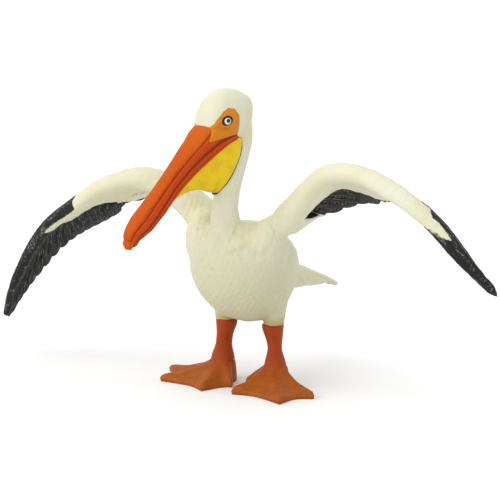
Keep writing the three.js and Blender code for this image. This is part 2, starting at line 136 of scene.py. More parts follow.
# The pouch's lower edge from the neck forwards: forward and height.
POUCH_EDGE = [[11.8, 59.5], [13.8, 60.3], [18.2, 61.4], [24.0, 60.2], [29.5, 57.0]]
POUCH = {
    "start": 0.04, "reach": 0.6,  # ends of its seam, as shares of the bill's length
    "at_neck": 4.1, "edge": 0.55,  # half widths at the neck and along the lower edge
    "inset": 1.1,  # how far it lies inside the bill's side
    "behind": 5.0, "rooted": 2.6,  # how far its top and its lower edge run back into the neck
    "drift": 1.0,  # how far its rear hangs to the bird's left
}

EYE = {"aside": 4.95, "forward": 10.7, "height": 80.9, "radius": 1.3, "long": 1.15, "outline": 1.55}
# The pouch's rear edge in the head's side view, from the gape down: forward and height.
REAR = [(3.5, 73.2), (4.1, 71.3), (5.4, 69.0), (7.8, 65.3), (9.9, 62.1), (11.3, 60.0), (12.3, 59.6)]
# Outline of the bare skin round the eye in the same view.
FACE = [
    (10.1, 84.4), (11.8, 83.3), (13.6, 81.2), (14.7, 79.4), (15.5, 77.5), (16.6, 75.5), (10.4, 76.5),
    (7.4, 76.8), (7.0, 75.6), (6.1, 77.2), (6.4, 79.2), (6.9, 82.2), (8.2, 84.0),
]
# Brush marks at the corner of the mouth: both ends as aside, forward and height, and radius.
MOUTH_MARKS = [
    ((3.7, 6.4, 76.6), (3.6, 4.6, 75.6), 0.3),
    ((3.6, 4.6, 75.6), (3.5, 5.0, 76.6), 0.22),
    ((3.5, 4.6, 74.7), (3.5, 3.8, 74.3), 0.3),
    ((3.5, 3.8, 74.3), (3.6, 3.6, 73.4), 0.25),
]

# Leading edge of each wing from shoulder to tip: x, y, z and pitch in degrees.
LEADING = {
    "left": [
        [4.0, -1.0, 42.5, 0],
        [12.0, -2.0, 47.0, 6],
        [20.0, -4.0, 55.6, 22],
        [31.5, -8.0, 65.7, 34],
        [44.0, -12.0, 67.8, 34],
        [56.0, -14.0, 64.6, 17],
        [68.0, -14.5, 57.9, 17],
        [78.0, -13.5, 48.3, 19],
        [86.0, -12.0, 40.9, 30],
    ],
    "right": [
        [-4.0, -1.0, 42.5, 0],
        [-12.0, -2.0, 46.8, 8],
        [-20.5, -4.5, 54.4, 18],
        [-32.0, -9.0, 60.1, 18],
        [-44.0, -12.5, 57.6, 15],
        [-56.0, -14.5, 50.0, 12],
        [-68.0, -15.0, 41.2, 10],
        [-80.0, -13.5, 26.2, 10],
        [-87.1, -12.0, 13.0, 10],
    ],
}
# What both wings share, shoulder to tip: arm radius, chord behind it, lean in degrees.
WING = [
    [6.6, 3.5, 0],
    [6.0, 5.0, -6],
    [4.7, 10.0, -6],
    [3.5, 17.0, -4],
    [2.9, 17.0, 0],
    [2.6, 15.5, 6],
    [2.2, 13.0, 12],
    [1.8, 9.0, 20],
    [1.3, 2.2, 30],
]
WING_BOW = 0.09  # rise of the middle surface, as a share of the chord
WING_FADE = 3.4  # arm radii behind the front over which the arm thins to a blade

# The white band of each wing: rows of place along the wing and the band's lower and upper edge, as
# shares of the chord that are negative under the wing. All else is black.
WHITE_LOW = {
    "left": [
        (0.0, -1.6), (0.232, -1.5), (0.246, -0.36), (0.29, -0.37), (0.312, -0.45), (0.335, -0.52),
        (0.35, -0.6), (0.36, -0.76), (0.41, -0.83), (0.47, -0.85), (0.55, -0.88), (0.6, -0.8),
        (0.68, -0.62), (0.72, -0.4), (0.755, -0.03), (0.775, -0.008), (0.792, 0.0), (0.805, 0.008),
        (0.815, 0.025), (0.824, 0.07), (0.84, 0.8), (1.0, 1.2),
    ],
    "right": [
        (0.0, -1.6), (0.28, -1.02), (0.34, -1.0), (0.42, -1.06), (0.52, -1.05), (0.54, -0.95), (0.56, -0.8),
        (0.583, -0.667), (0.6, -0.6), (0.623, -0.575), (0.652, -0.575), (0.682, -0.6), (0.703, -0.53),
        (0.713, -0.36), (0.72, -0.1), (0.738, -0.01), (0.75, 0.8), (1.0, 1.2),
    ],
}
WHITE_HIGH = {
    "left": [
        (0.0, 1.6), (0.2, 1.3), (0.26, 0.86), (0.36, 0.7), (0.5, 0.62), (0.62, 0.58), (0.69, 0.52),
        (0.74, 0.133), (0.755, 0.08), (0.772, 0.1), (0.787, 0.1), (0.815, 0.083), (0.824, 0.07),
        (0.84, -0.8), (1.0, -1.2),
    ],
    "right": [
        (0.0, 1.6), (0.2, 1.3), (0.26, 0.86), (0.36, 0.7), (0.5, 0.62), (0.58, 0.56), (0.596, 0.06),
        (0.612, -0.02), (0.738, -0.01), (0.75, -0.8), (1.0, -1.2),
    ],
}
# Where the flight feathers end: rows of place along the wing and share of the chord.
TRAIL = {
    "left": [
        (0.15, 0.75), (0.22, 0.88), (0.27, 1.1), (0.36, 1.14), (0.42, 1.0), (0.46, 0.86), (0.6, 0.86),
        (0.7, 0.85), (0.85, 0.78), (1.05, 0.7),
    ],
    "right": [
        (0.15, 1.0), (0.3, 1.04), (0.42, 1.1), (0.53, 1.06), (0.556, 0.96), (0.575, 0.98), (0.6, 1.18),
        (0.66, 1.25), (0.72, 1.2), (0.8, 1.0), (0.9, 0.88), (1.05, 0.76),
    ],
}
REACH = 105.0  # length of a wing's leading edge
TIP = 1.004  # place of the outermost feather's end along the wing

TAIL = {
    "root": (13.5, 35.0), "length": 24.7, "slope": np.radians(23.9),
    "root_half": 5.8, "end_half": 10.5,  # half widths
    "above": 2.3, "below": 9.0, "thin": 0.85,  # thicknesses over and under its middle, and at its end
    "lift": -0.3, "rounding": 0.16,  # droop of its sides, and how much shorter they are
    "feathers": 7,
}

LEG = {
    "top": 28.0, "feathered": 18.8, "middle": 12.0, "spread": 10.4, "ankle": 6.6,  # heights
    "thigh": 2.9, "knee": 2.95, "shank": 2.3, "heel": 3.45,  # radii
}
# Where each leg stands, how far its top leans to the bird's left, and the foot's turn out in degrees.
STANCE = {
    "left": {"x": 8.05, "y": 1.6, "lean": -0.5, "out": 28},
    "right": {"x": -9.7, "y": -0.4, "lean": 1.05, "out": 40},
}
# Toes: degrees out from the foot's own middle line, and length.
TOES = {
    "left": [(-92, 9.0), (-50, 15.5), (10, 19.8), (46, 17.7)],
    "right": [(-92, 9.6), (-50, 15.0), (10, 19.1), (48, 20.0)],
}
FOOT = {
    "web": 1.15, "ridge": 1.45, "toe_end": 0.65,  # heights, and the ridge's share left at a toe's end
    "toe_width": 9.5, "heel_turn": 30,  # degrees round the leg
    "heel": 4.2, "flare": 5.5,  # reach behind the leg, and of the slope down from the ankle
    "web_dip": 0.14,  # how far a web's edge draws back, as a share
}

# Heights of the moulded relief.
RELIEF = {
    "lumps": 0.07, "grain": 0.06, "scales": 0.4, "fine_scales": 0.24, "fluff": 0.16,
    "collar": 0.7, "coverts": 0.2, "under_coverts": 0.05, "ridges": 0.3,
}

LOOK_AT = np.array([0.0, 0.0, 41.0])
SENSOR = 36.0
WORLD_LIGHT = 0.9
# Each lamp's name, the direction it shines from, its width in radians and its strength.
LAMPS = [("key", (-0.45, -0.75, 0.75), 1.2, 1.45), ("top", (0.15, 0.3, 1.1), 1.5, 0.4)]

# ------------------------------------------------------------------ curves


def lerp(a, b, t):
    """Straight mix of a and b."""
    return a + (b - a) * t


def smooth(x, low, high):
    """Rises from 0 at low to 1 at high as 3u^2 - 2u^3."""
    u = np.clip((x - low) / (high - low), 0, 1)
    return u * u * (3 - 2 * u)


def through(rows, t):
    """Catmull-Rom curve through rows of numbers, from the first at t = 0 to the last at t = 1."""
    rows = np.asarray(rows, float)
    last = len(rows) - 1
    place = np.clip(np.asarray(t, float), 0, 1) * last
    i = np.minimum(place.astype(int), last - 1)
    f = (place - i)[..., None]
    a, b, c, d = (rows[np.clip(i + k, 0, last)] for k in (-1, 0, 1, 2))
    return b + 0.5 * f * (c - a + f * (2 * a - 5 * b + 4 * c - d + f * (3 * (b - c) + d - a)))


def along_rows(rows, t):
    """Straight lines through rows of place and value."""
    return np.interp(t, *np.array(rows).T)


def rounded(x, least=0.0, power=2):
    """Falls from 1 at x = 0 as a round end does: the root of 1 - x^power, kept above least's root."""
    return np.sqrt(np.clip(1 - np.clip(x, 0, 1) ** power, least, 1))


def groove(x, place, width):
    """A soft notch 1 deep at a place."""
    return np.exp(-(((x - place) / width) ** 2))


def unit(v):
    """Each vector over its own length."""
    return v / np.maximum(np.linalg.norm(v, axis=-1, keepdims=True), 1e-9)


def square_to(lift, along):
    """The part of one direction that is square to another, as a unit vector."""
    return unit(lift - along * (lift * along).sum(-1, keepdims=True))


def ripple(points, size, seed):
    """Smooth lumps about 0: 1.6 times the mean of eight plane sine waves in seeded directions, each
    about size long."""
    rng = np.random.default_rng(seed)
    waves = unit(rng.normal(size=(8, 3))) * (2 * np.pi / (size * rng.uniform(0.7, 1.4, (8, 1))))
    return np.sin(points @ waves.T + rng.uniform(0, 6.28, 8)).mean(-1) * 1.6


def scallops(along, across, long, wide):
    """Height of overlapping round scales from 0 to 1: in staggered rows, each scale is a disc that
    rises towards its lower end and drops to the next one there."""
    best = np.zeros(np.shape(along))
    row = np.floor(along / long)
    for back in (0, 1):
        r = row - back
        shift = 0.5 * (r % 2)
        u = (along / long - r) / 1.75
        v = across / wide - shift
        v = v - np.round(v)
        inside = np.sqrt(np.clip(1 - (2 * v) ** 2, 0, 1))
        height = u * smooth(inside - u, -0.03, 0.12)
        best = np.maximum(best, height)
    return best


# ------------------------------------------------------------------ meshes


def closed_tube(rings):
    """Points, quads and end fans of the closed surface through rings of points."""
    n, m = rings.shape[:2]
    points = np.concatenate([rings.reshape(-1, 3), rings[0].mean(0)[None], rings[-1].mean(0)[None]])
    i, j = np.meshgrid(np.arange(n - 1), np.arange(m), indexing="ij")
    a, b = i * m + j, i * m + (j + 1) % m
    quads = np.stack([a, b, b + m, a + m], -1).reshape(-1, 4)
    j = np.arange(m)
    k = (j + 1) % m
    first = np.stack([np.full(m, n * m), k, j], -1)
    last = np.stack([np.full(m, n * m + 1), (n - 1) * m + j, (n - 1) * m + k], -1)
    return outward(points, [quads, np.concatenate([first, last])])


def outward(points, groups):
    """The same surface with its faces turned so that the volume they enclose is positive."""
    volume = 0.0
    for faces in groups:
        for k in range(1, faces.shape[1] - 1):
            a, b, c = points[faces[:, 0]], points[faces[:, k]], points[faces[:, k + 1]]
            volume += np.einsum("ij,ij->", a, np.cross(b, c))
    if volume < 0:
        groups = [faces[:, ::-1] for faces in groups]
    return points, groups


def joined(surfaces):
    """Several surfaces as one set of points and face groups."""
    points, quads, fans, start = [], [], [], 0
    for p, groups in surfaces:
        points.append(p)
        quads.append(groups[0] + start)
        fans.append(groups[1] + start)
        start += len(p)
    return np.concatenate(points), [np.concatenate(quads), np.concatenate(fans)]


def mesh_from(name, points, groups):
    """A Blender mesh from points and groups of faces with equal corner counts."""
    mesh = bpy.data.meshes.new(name)
    corners = np.concatenate([faces.ravel() for faces in groups]).astype(np.int32)
    counts = np.concatenate([np.full(len(faces), faces.shape[1]) for faces in groups])
    starts = np.concatenate([[0], np.cumsum(counts)[:-1]]).astype(np.int32)
    mesh.vertices.add(len(points))
    mesh.vertices.foreach_set("co", np.ascontiguousarray(points, np.float32).ravel())
    mesh.loops.add(len(corners))
    mesh.loops.foreach_set("vertex_index", corners)
    mesh.polygons.add(len(counts))
    mesh.polygons.foreach_set("loop_start", starts)
    mesh.update(calc_edges=True)
    mesh.validate()
    mesh.polygons.foreach_set("use_smooth", np.ones(len(mesh.polygons), bool))
    return mesh


def piece(name, points, groups, finish, nodes, attributes=None, bake=None):
    """Makes a piece: its mesh in metres in the CAD frame, its paint attributes, its unwrap, its body,
    the material slot it takes and the CAD nodes that it stands for."""
    mesh = mesh_from(name, points * MM + SHIFT, groups)
    for key, values in (attributes or {}).items():
        values = np.asarray(values, np.float32)
        kind = "FLOAT_VECTOR" if values.ndim == 2 else "FLOAT"
        layer = mesh.attributes.new(key, kind, "POINT")
        layer.data.foreach_set("vector" if values.ndim == 2 else "value", values.ravel())
    if bake is not None:
        corners = np.zeros(len(mesh.loops), np.int32)
        mesh.loops.foreach_get("vertex_index", corners)
        mesh.uv_layers.new(name="OFBake").data.foreach_set("uv", bake(corners).astype(np.float32).ravel())
    mesh.materials.append(finish)
    made = bpy.data.objects.new(name, mesh)
    bpy.context.scene.collection.objects.link(made)
    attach(made, BODY)
    if nodes:
        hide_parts(*nodes)


def ovals(centre, side, rise, half, up, down, count):
    """Rings of ovals round each centre, in the plane of side and rise: half wide to each side, up
    high and down low."""
    angle = np.linspace(0, 2 * np.pi, count, endpoint=False)
    lift = np.sin(angle) * np.where(np.sin(angle) > 0, up[:, None], down[:, None])
    sideways = half[:, None] * np.cos(angle)
    return centre[:, None] + side * sideways[..., None] + rise * lift[..., None]


# ------------------------------------------------------------------ solids under the skin


def head_point(left, forward, height):
    """Point of the head from its own left, forward and height."""
    left, forward, height = np.broadcast_arrays(left, forward, height)
    return HEAD_PIVOT + left[..., None] * ASIDE + forward[..., None] * AHEAD + height[..., None] * UP


def head_place(points):
    """Left, forward and height of points in the head's own axes."""
    away = points - HEAD_PIVOT
    return away @ ASIDE, away @ AHEAD, points[..., 2]


def trunk_solid():
    """Oval sections of the trunk carried from breast to rump, wider and flatter on top than their
    rows where the body is full."""
    rows = through(TRUNK, np.linspace(0, 1, 70))
    centre = np.stack([np.zeros(70), rows[:, 0], rows[:, 1]], -1)
    half, up, down = rows[:, 2:5].T
    swell = 0.75 * smooth(half, 1, 8)
    return closed_tube(ovals(centre, LEFT, UP, half + swell, up - 1.4 * swell, down, 80))


def shoulder_solid(side):
    """An ellipsoid: circles of radius sin(a) at height cos(a), scaled by the shoulder's radii."""
    angle = np.linspace(0.02, np.pi - 0.02, 40)[:, None]
    turn = np.linspace(0, 2 * np.pi, 80, endpoint=False)
    circles = [np.sin(angle) * np.cos(turn), np.sin(angle) * np.sin(turn), np.cos(angle) + 0 * turn]
    place = np.array(SHOULDER["place"]) * [SIDES[side], 1, 1]
    return closed_tube(np.stack(circles, -1) * SHOULDER["radii"] + place)


def neck_solid():
    """Oval sections square to the neck's own curve, from inside the breast to inside the skull."""
    t = np.linspace(0, 1, 90)
    rows = through(NECK, t)
    centre = np.stack([np.zeros(90), rows[:, 0], rows[:, 1]], -1)
    along = unit(np.gradient(centre, axis=0))
    rise = np.cross(LEFT, along)[:, None]
    return closed_tube(ovals(centre, LEFT, rise, rows[:, 2], rows[:, 3], rows[:, 3], 56))


def skull_solid():
    """Oval sections of the skull carried from nape to forehead in the head's own axes, a little
    fuller than their rows."""
    rows = through(SKULL, np.linspace(0, 1, 70))
    centre = head_point(0.0, rows[:, 0], rows[:, 1])
    swell = 0.25 * smooth(rows[:, 2:3], 1, 4)
    return closed_tube(ovals(centre, ASIDE, UP, *(rows[:, 2:5] + swell).T, 64))


def nape_tufts():
    """Small pointed tufts down the back of the head: cones that taper as 1 - u^2 and point back and
    down."""
    tufts = []
    u = np.linspace(0, 1, 8)
    rise = unit(UP - 0.5 * AHEAD)
    rng = np.random.default_rng(7)
    for height in np.arange(84.0, 87.0, 1.2):
        for aside in (-3.4, -2.2, -0.7, 0.8, 2.2, 3.4):
            back = -2.2 + 0.055 * (height - 82.3) ** 2 + 0.16 * aside**2
            size = rng.uniform(0.9, 1.2)
            reach = 2.1 * size
            path = head_point(aside + 0.5 * rng.normal() * u, back + 0.9 - reach * u, height + 0.6 - 1.3 * u)
            radius = size * (1 - u**2) + 0.05
            tufts.append(closed_tube(ovals(path, ASIDE, rise, radius, 0.6 * radius, 0.6 * radius, 10)))
    return tufts


def thigh_solid(side):
    """Feathered top of a leg: a round tube that narrows to the bare shank."""
    place = STANCE[side]
    t = np.linspace(0, 1, 24)
    z = lerp(LEG["feathered"] + 0.2, LEG["top"], t)
    radius = lerp(LEG["knee"] + 0.15, LEG["thigh"] + 1.4, smooth(t, 0, 1))
    centre = np.stack([place["x"] + place["lean"] + 0 * z, place["y"] + 0 * z, z], -1)
    return closed_tube(ovals(centre, LEFT, BACK, radius, radius, radius, 40))


def wing_frame(side, t):
    """A wing at t along it: middle of the arm, directions out along the span, back along the chord
    and up, and the arm's radius and the chord behind it."""
    lead = through(LEADING[side], t)
    size = through(WING, t)
    pitch = np.radians(lead[..., 3:4])
    lean = np.radians(size[..., 2:3])
    step = 0.01
    span = unit(through(LEADING[side], t + step)[..., :3] - through(LEADING[side], t - step)[..., :3])
    aft = unit(BACK - span * span[..., 1:2])
    over = np.cross(span, aft)
    over = np.where(over[..., 2:] < 0, -over, over)
    back = aft * np.cos(pitch) - over * np.sin(pitch)
    rise = over * np.cos(pitch) + aft * np.sin(pitch)
    back = back * np.cos(lean) + span * np.sin(lean)
    return {"middle": lead[..., :3], "span": span, "back": back, "rise": rise,
            "radius": size[..., 0], "chord": size[..., 1]}


def wing_sheet(side, t, share):
    """Middle surface of a wing at t along it and a share of its width behind the front of the arm:
    straight along the chord, bowed up by a half sine. Also gives the upward direction and width."""
    arm = wing_frame(side, np.minimum(t, 1))
    centre = arm["middle"] + arm["span"] * (REACH * np.maximum(t - 1, 0))[..., None]
    width = arm["radius"] + arm["chord"]
    bow = WING_BOW * arm["chord"] * np.sin(np.pi * np.clip(share, 0, 1))
    place = centre + arm["back"] * (width * share - arm["radius"])[..., None]
    return place + arm["rise"] * bow[..., None], arm["rise"], width


def wing_half(distance, radius, end, blade):
    """Half thickness: a round arm that fades over a few radii to a thin blade with a soft end."""
    fade = 1 - smooth(distance, radius, radius * WING_FADE)
    ends = rounded(1 - distance / radius) * rounded(1 - (end - distance) / 0.8, 0.02)
    return (blade + (radius - blade) * fade) * ends


def covert_share(side, t):
    """Share of the chord that the arm and its moulded coverts take up: to just behind the white
    band's lower edge, less at the wing's root and all of it at the tip."""
    edge = -along_rows(WHITE_LOW[side], t)
    root = lerp(0.15 if side == "left" else 0.4, 1.0, smooth(t, 0.15, 0.26))
    return np.maximum(root * np.clip(edge + 0.035, 0.3, 1.09), smooth(t, 0.93, 0.985))


def wing_solid(side):
    """Arm and moulded coverts of a wing: sections of twice the half thickness about the middle
    surface, which thin towards the flight feathers."""
    t = np.linspace(0, 1.01, 260)[:, None]
    s = np.linspace(0, 1, 34)[None, :]
    arm = wing_frame(side, t)
    radius = arm["radius"] * 0.97 * rounded((t - 0.98) / 0.03, 0.1)
    width = radius + arm["chord"]
    share = covert_share(side, t) + 0.02 * np.abs(np.sin(np.pi * 30 * t))
    distance = np.maximum(width * share * s**1.5, 0.03 * radius)
    blade = lerp(0.55, 0.42, smooth(s, 0.5, 1))
    half = wing_half(distance, radius, width * share + 0.05, blade)
    place, rise, _ = wing_sheet(side, np.repeat(t, 34, 1), distance / width)
    upper = place + rise * half[..., None]
    lower = place - rise * half[..., None]
    return closed_tube(np.concatenate([upper, lower[:, ::-1]], 1))


def tail_point(t, s, sign, thick=None):
    """Point of the tail's fan: t down its slope, s from side to side, above its middle or below by
    a thickness that tapers from the root unless it is given."""
    half = lerp(TAIL["root_half"], TAIL["end_half"], t**0.8)
    run = t * TAIL["length"] * (1 - TAIL["rounding"] * s * s)
    if thick is None:
        root = TAIL["above"] if sign > 0 else TAIL["below"]
        thick = lerp(TAIL["thin"] - 0.15, root, (1 - t) ** (1.3 if sign > 0 else 1.05))
        thick = thick * np.sqrt(1 - lerp(0.98, 0.75, t) * np.abs(s) ** lerp(2.0, 4.0, t))
    y = TAIL["root"][0] + run * np.cos(TAIL["slope"])
    z = TAIL["root"][1] - run * np.sin(TAIL["slope"]) + TAIL["lift"] * s * s + sign * thick
    z = z + 0.9 * np.sin(np.pi * t * 0.8)
    return np.stack(np.broadcast_arrays(s * half, y, z), -1)


def tail_solid():
    """Wedge of the tail: from an oval root to a flat end that lies inside the tail feathers."""
    t = np.linspace(0, 0.82, 60)[:, None]
    s = np.linspace(-1, 1, 34)[None, :]
    return closed_tube(np.concatenate([tail_point(t, s, 1), tail_point(t, s, -1)[:, ::-1]], 1))


# ------------------------------------------------------------------ skin


def remeshed(surfaces, voxel):
    """One closed skin round all the solids, from Blender's voxel remesh in millimetres."""
    rough = bpy.data.objects.new("rough", mesh_from("rough", *joined(surfaces)))
    bpy.context.scene.collection.objects.link(rough)
    remesh = rough.modifiers.new("Skin", "REMESH")
    remesh.mode = "VOXEL"
    remesh.voxel_size = voxel
    mesh = rough.evaluated_get(bpy.context.evaluated_depsgraph_get()).to_mesh()
    points = np.zeros(len(mesh.vertices) * 3, np.float32)
    mesh.vertices.foreach_get("co", points)
    corners = np.zeros(len(mesh.loops), np.int32)
    mesh.loops.foreach_get("vertex_index", corners)
    if len(mesh.loops) != 4 * len(mesh.polygons):
        raise RuntimeError("the remeshed skin isn't all quads")
    bpy.data.objects.remove(rough)
    return points.reshape(-1, 3).astype(float), corners.reshape(-1, 4)


def neighbour_pairs(quads):
    """Both ends of every edge, each way round."""
    ends = np.concatenate([quads[:, [k, (k + 1) % 4]] for k in range(4)])
    ends = np.unique(np.sort(ends, 1), axis=0)
    return np.concatenate([ends, ends[:, ::-1]])


def relaxed(values, pairs, rounds, weight=0.5):
    """Values with each one drawn towards the mean of its neighbours, again and again."""
    flat = values.reshape(len(values), -1)
    counts = np.maximum(np.bincount(pairs[:, 0], minlength=len(flat)), 1)[:, None]
    weight = np.broadcast_to(np.asarray(weight, float).reshape(-1, 1), (len(flat), 1))
    for _ in range(rounds):
        sums = [np.bincount(pairs[:, 0], flat[pairs[:, 1], k], len(flat)) for k in range(flat.shape[1])]
        flat = flat + weight * (np.stack(sums, -1) / counts - flat)
    return flat.reshape(values.shape)


def normals_of(points, quads):
    """Outward direction at each point: the sum of its faces' area vectors."""
    face = np.cross(points[quads[:, 2]] - points[quads[:, 0]], points[quads[:, 3]] - points[quads[:, 1]])
    corner = np.repeat(face, 4, 0)
    sums = [np.bincount(quads.ravel(), corner[:, k], len(points)) for k in range(3)]
    return unit(np.stack(sums, -1))


def wing_place(side, points):
    """Place t along a wing and share s of its width nearest to each point, and the height over its
    middle surface: the best of a coarse grid, then Newton steps on the surface's own slopes."""
    grid_t, grid_s = np.meshgrid(np.linspace(0, 1, 70), np.linspace(0, 1, 9), indexing="ij")
    grid, _, _ = wing_sheet(side, grid_t.ravel(), grid_s.ravel())
    near = np.argmin(((points[:, None] - grid[None]) ** 2).sum(-1), 1)
    t, s = grid_t.ravel()[near], grid_s.ravel()[near]
    for _ in range(4):
        at, rise, _ = wing_sheet(side, t, s)
        dt = (wing_sheet(side, t + 0.002, s)[0] - at) / 0.002
        ds = (wing_sheet(side, t, s + 0.002)[0] - at) / 0.002
        off = points - at
        a, b, c = (dt * dt).sum(-1), (dt * ds).sum(-1), (ds * ds).sum(-1)
        p, q = (off * dt).sum(-1), (off * ds).sum(-1)
        det = np.maximum(a * c - b * b, 1e-6)
        t = np.clip(t + np.clip((p * c - q * b) / det, -0.03, 0.03), 0.0, 1.0)
        s = np.clip(s + np.clip((q * a - p * b) / det, -0.2, 0.2), -0.15, 1.1)
    at, rise, width = wing_sheet(side, t, s)
    return t, s, ((points - at) * rise).sum(-1), width


def ink_depth(side, t, s, over, width):
    """How deep inside the black paint a point of a wing lies, in millimetres and negative outside:
    how far it is past the white band's lower or upper edge."""
    signed = np.where(over > 0, s, -s)
    outside = np.maximum(along_rows(WHITE_LOW[side], t) - signed, signed - along_rows(WHITE_HIGH[side], t))
    return outside * width


def wing_facts(side, points):
    """Where points lie on a wing, how surely they belong to it, and its black paint there."""
    t, s, over, width = wing_place(side, points)
    at, _, _ = wing_sheet(side, t, s)
    away = np.linalg.norm(points - at, axis=-1)
    mask = smooth(SIDES[side] * points[:, 0], 15, 22) * (1 - smooth(away, 6, 7))
    ink = np.where(mask > 0, ink_depth(side, t, s, over, width), -5.0)
    black = smooth(ink, -0.1, 0.4)
    return {"t": t, "s": s, "over": over, "width": width, "mask": mask, "ink": ink, "black": black}


def either_wing(wings, key):
    """The larger of both wings' values."""
    return np.maximum(*(wing[key] for wing in wings.values()))


def from_stroke(points, start, end):
    """Distance to the straight stroke between two places."""
    start, end = np.asarray(start, float), np.asarray(end, float)
    axis = end - start
    share = np.clip(((points - start) @ axis) / (axis @ axis), 0, 1)
    return np.linalg.norm(points - start - share[:, None] * axis, axis=-1)


def face_depth(points):
    """How deep a point lies inside the bare orange skin round the eye: its distance from the
    patch's outline in the head's side view, kept to the head's flanks."""
    left, forward, height = head_place(points)
    flat = np.stack([forward, height], -1)
    corners = np.array(FACE)
    ends = np.roll(corners, -1, 0)
    reach = np.min([from_stroke(flat, a, b) for a, b in zip(corners, ends)], axis=0)
    run, rise = (ends - corners).T
    away = flat[:, None] - corners
    spans = (corners[:, 1] <= flat[:, 1:]) != (ends[:, 1] <= flat[:, 1:])
    crossing = spans & ((away[..., 0] - away[..., 1] * run / np.where(rise == 0, 1, rise)) < 0)
    inside = crossing.sum(-1) % 2 == 1
    return np.minimum(np.where(inside, reach, -reach) + 0.25, np.abs(left) - 2.9)


def line_depth(points):
    """How deep a point lies inside the thin black brush marks at the corner of the mouth and the
    black oval round the eye."""
    left, forward, height = head_place(points)
    local = np.stack([np.abs(left), forward, height], -1)
    brushed = np.max([radius - from_stroke(local, a, b) for a, b, radius in MOUTH_MARKS], axis=0)
    from_eye = np.hypot((forward - EYE["forward"]) / EYE["long"], height - EYE["height"])
    return np.maximum(brushed, np.minimum(EYE["outline"] - from_eye, np.abs(left) - 3.0))


def body_relief(points, bend, body):
    """Height of the body's relief: round scales on shoulders and mantle, finer ones elsewhere, and
    the step where the neck's short feathers end over the left of the breast."""
    x, y, z = points.T
    fluff = np.exp(-(((np.abs(x) - 9) / 8) ** 2) - ((z - 47) / 6.5) ** 2) * body
    mantle = smooth(y, -2, 4) * smooth(z, 38, 46) * body
    scales = scallops(y * 0.6 - z + bend, x + 0.7 * y + bend, 3.4, 3.6) - 0.4
    fine = scallops(y * 0.5 - z + bend, x + 0.7 * y - 0.7 * bend, 2.1, 2.3) - 0.4
    edge = 44.3 + 0.9 * np.sin(x * 0.9) + 0.35 * np.sin(x * 2.3)
    collar = smooth(z, edge - 0.5, edge + 0.7) * (1 - smooth(z, 48, 55))
    collar = collar * smooth(x, 1.0, 4.0) * (1 - smooth(x, 12, 16)) * (1 - smooth(y, -6, 0))
    height = RELIEF["scales"] * np.maximum(fluff, 0.9 * mantle) * scales
    height += RELIEF["fine_scales"] * body * (1 - 0.5 * fluff) * smooth(z, 21, 25) * fine
    height += RELIEF["fluff"] * fluff * ripple(points, 2.4, 8)
    return height + RELIEF["collar"] * body * collar


def wing_relief(points, wing, bend):
    """Height of a wing's relief: rows of scales on its white coverts, stronger above than below, and
    long ridges on its black ones."""
    distance = wing["t"] * REACH + bend
    chord = wing["s"] * wing["width"] + 0.6 * bend
    rows = scallops(chord + 0.35 * distance, distance, 3.6, 3.9) - 0.4
    above = RELIEF["coverts"] * smooth(wing["over"], -0.2, 0.6)
    below = RELIEF["under_coverts"] * (1 - smooth(wing["over"], -0.6, 0.2))
    white = (1 - wing["black"]) * (above + below) * rows
    return wing["mask"] * (white + wing["black"] * RELIEF["ridges"] * (long_ridges(points, wing) - 0.6))


def skin_relief(points, wings):
    """Height of the moulded relief over the skin: the body's and both wings' feathers, and soft
    lumps everywhere."""
    bend = 0.9 * ripple(points, 9.0, 3)
    body = (1 - either_wing(wings, "mask")) * (1 - smooth(points[:, 2], 56, 62))
    height = RELIEF["lumps"] * ripple(points, 4.0, 5)
    height += RELIEF["grain"] * ripple(points, 1.6, 6) * (0.4 + 0.6 * body)
    height += body_relief(points, bend, body)
    return height + sum(wing_relief(points, wing, bend) for wing in wings.values())


def long_ridges(points, wing):
    """Height from 0 to 1 of the black coverts' long ridges, which run along the wing."""
    lane = wing["s"] * wing["width"] + 0.06 * wing["t"] * REACH + 0.4 * ripple(points, 6.0, 9)
    return np.abs(np.sin(np.pi * lane / 1.4)) ** 0.7


def sink_by_bill(points):
    """Height by which the head's skin sinks where the bill lies over it, so the bill stands proud."""
    left, forward, height = head_place(points)
    line = along_rows([row[:2] for row in BILL], forward)
    depth = along_rows([(row[0], row[3]) for row in BILL], forward)
    over = smooth(line + depth * 1.25 - height, -0.2, 0.5) * smooth(height - line + 2.8, 0, 0.5)
    return -0.6 * over * smooth(forward, 9.0, 10.4) * smooth(np.abs(left), 1.5, 2.5)


def blended(points, pairs, blade):
    """The skin drawn smooth: a little everywhere, and much more on body and neck, where one solid
    runs into the next."""
    points = relaxed(points, pairs, 3)
    joint = (1 - blade) * smooth(points[:, 2], 21, 24) * (1 - smooth(points[:, 2], 70, 75))
    return relaxed(points, pairs, 34, 0.5 * joint + 0.02)


def hollows(points, normals, relief, pairs, blade):
    """Where the brown wash and painted shade gather, from 0 to 1: broad hollows of the form away from the
    wings' blades, dips in the relief, and the lower ends of the thighs."""
    inwards = ((relaxed(points, pairs, 60) - points) * normals).sum(-1)
    broad = np.clip(inwards * 1.3, 0, 1) * (1 - blade)
    fine = np.clip((relaxed(relief, pairs, 6) - relief) * 1.4, 0, 0.4)
    # Low on the body by the leg tops: brown wash and painted shade under the belly.
    thigh = 1 - smooth(points[:, 2], 19.6, 23.5)
    return relaxed(np.maximum(broad + fine, 0.9 * thigh), pairs, 2)


# ------------------------------------------------------------------ feathers


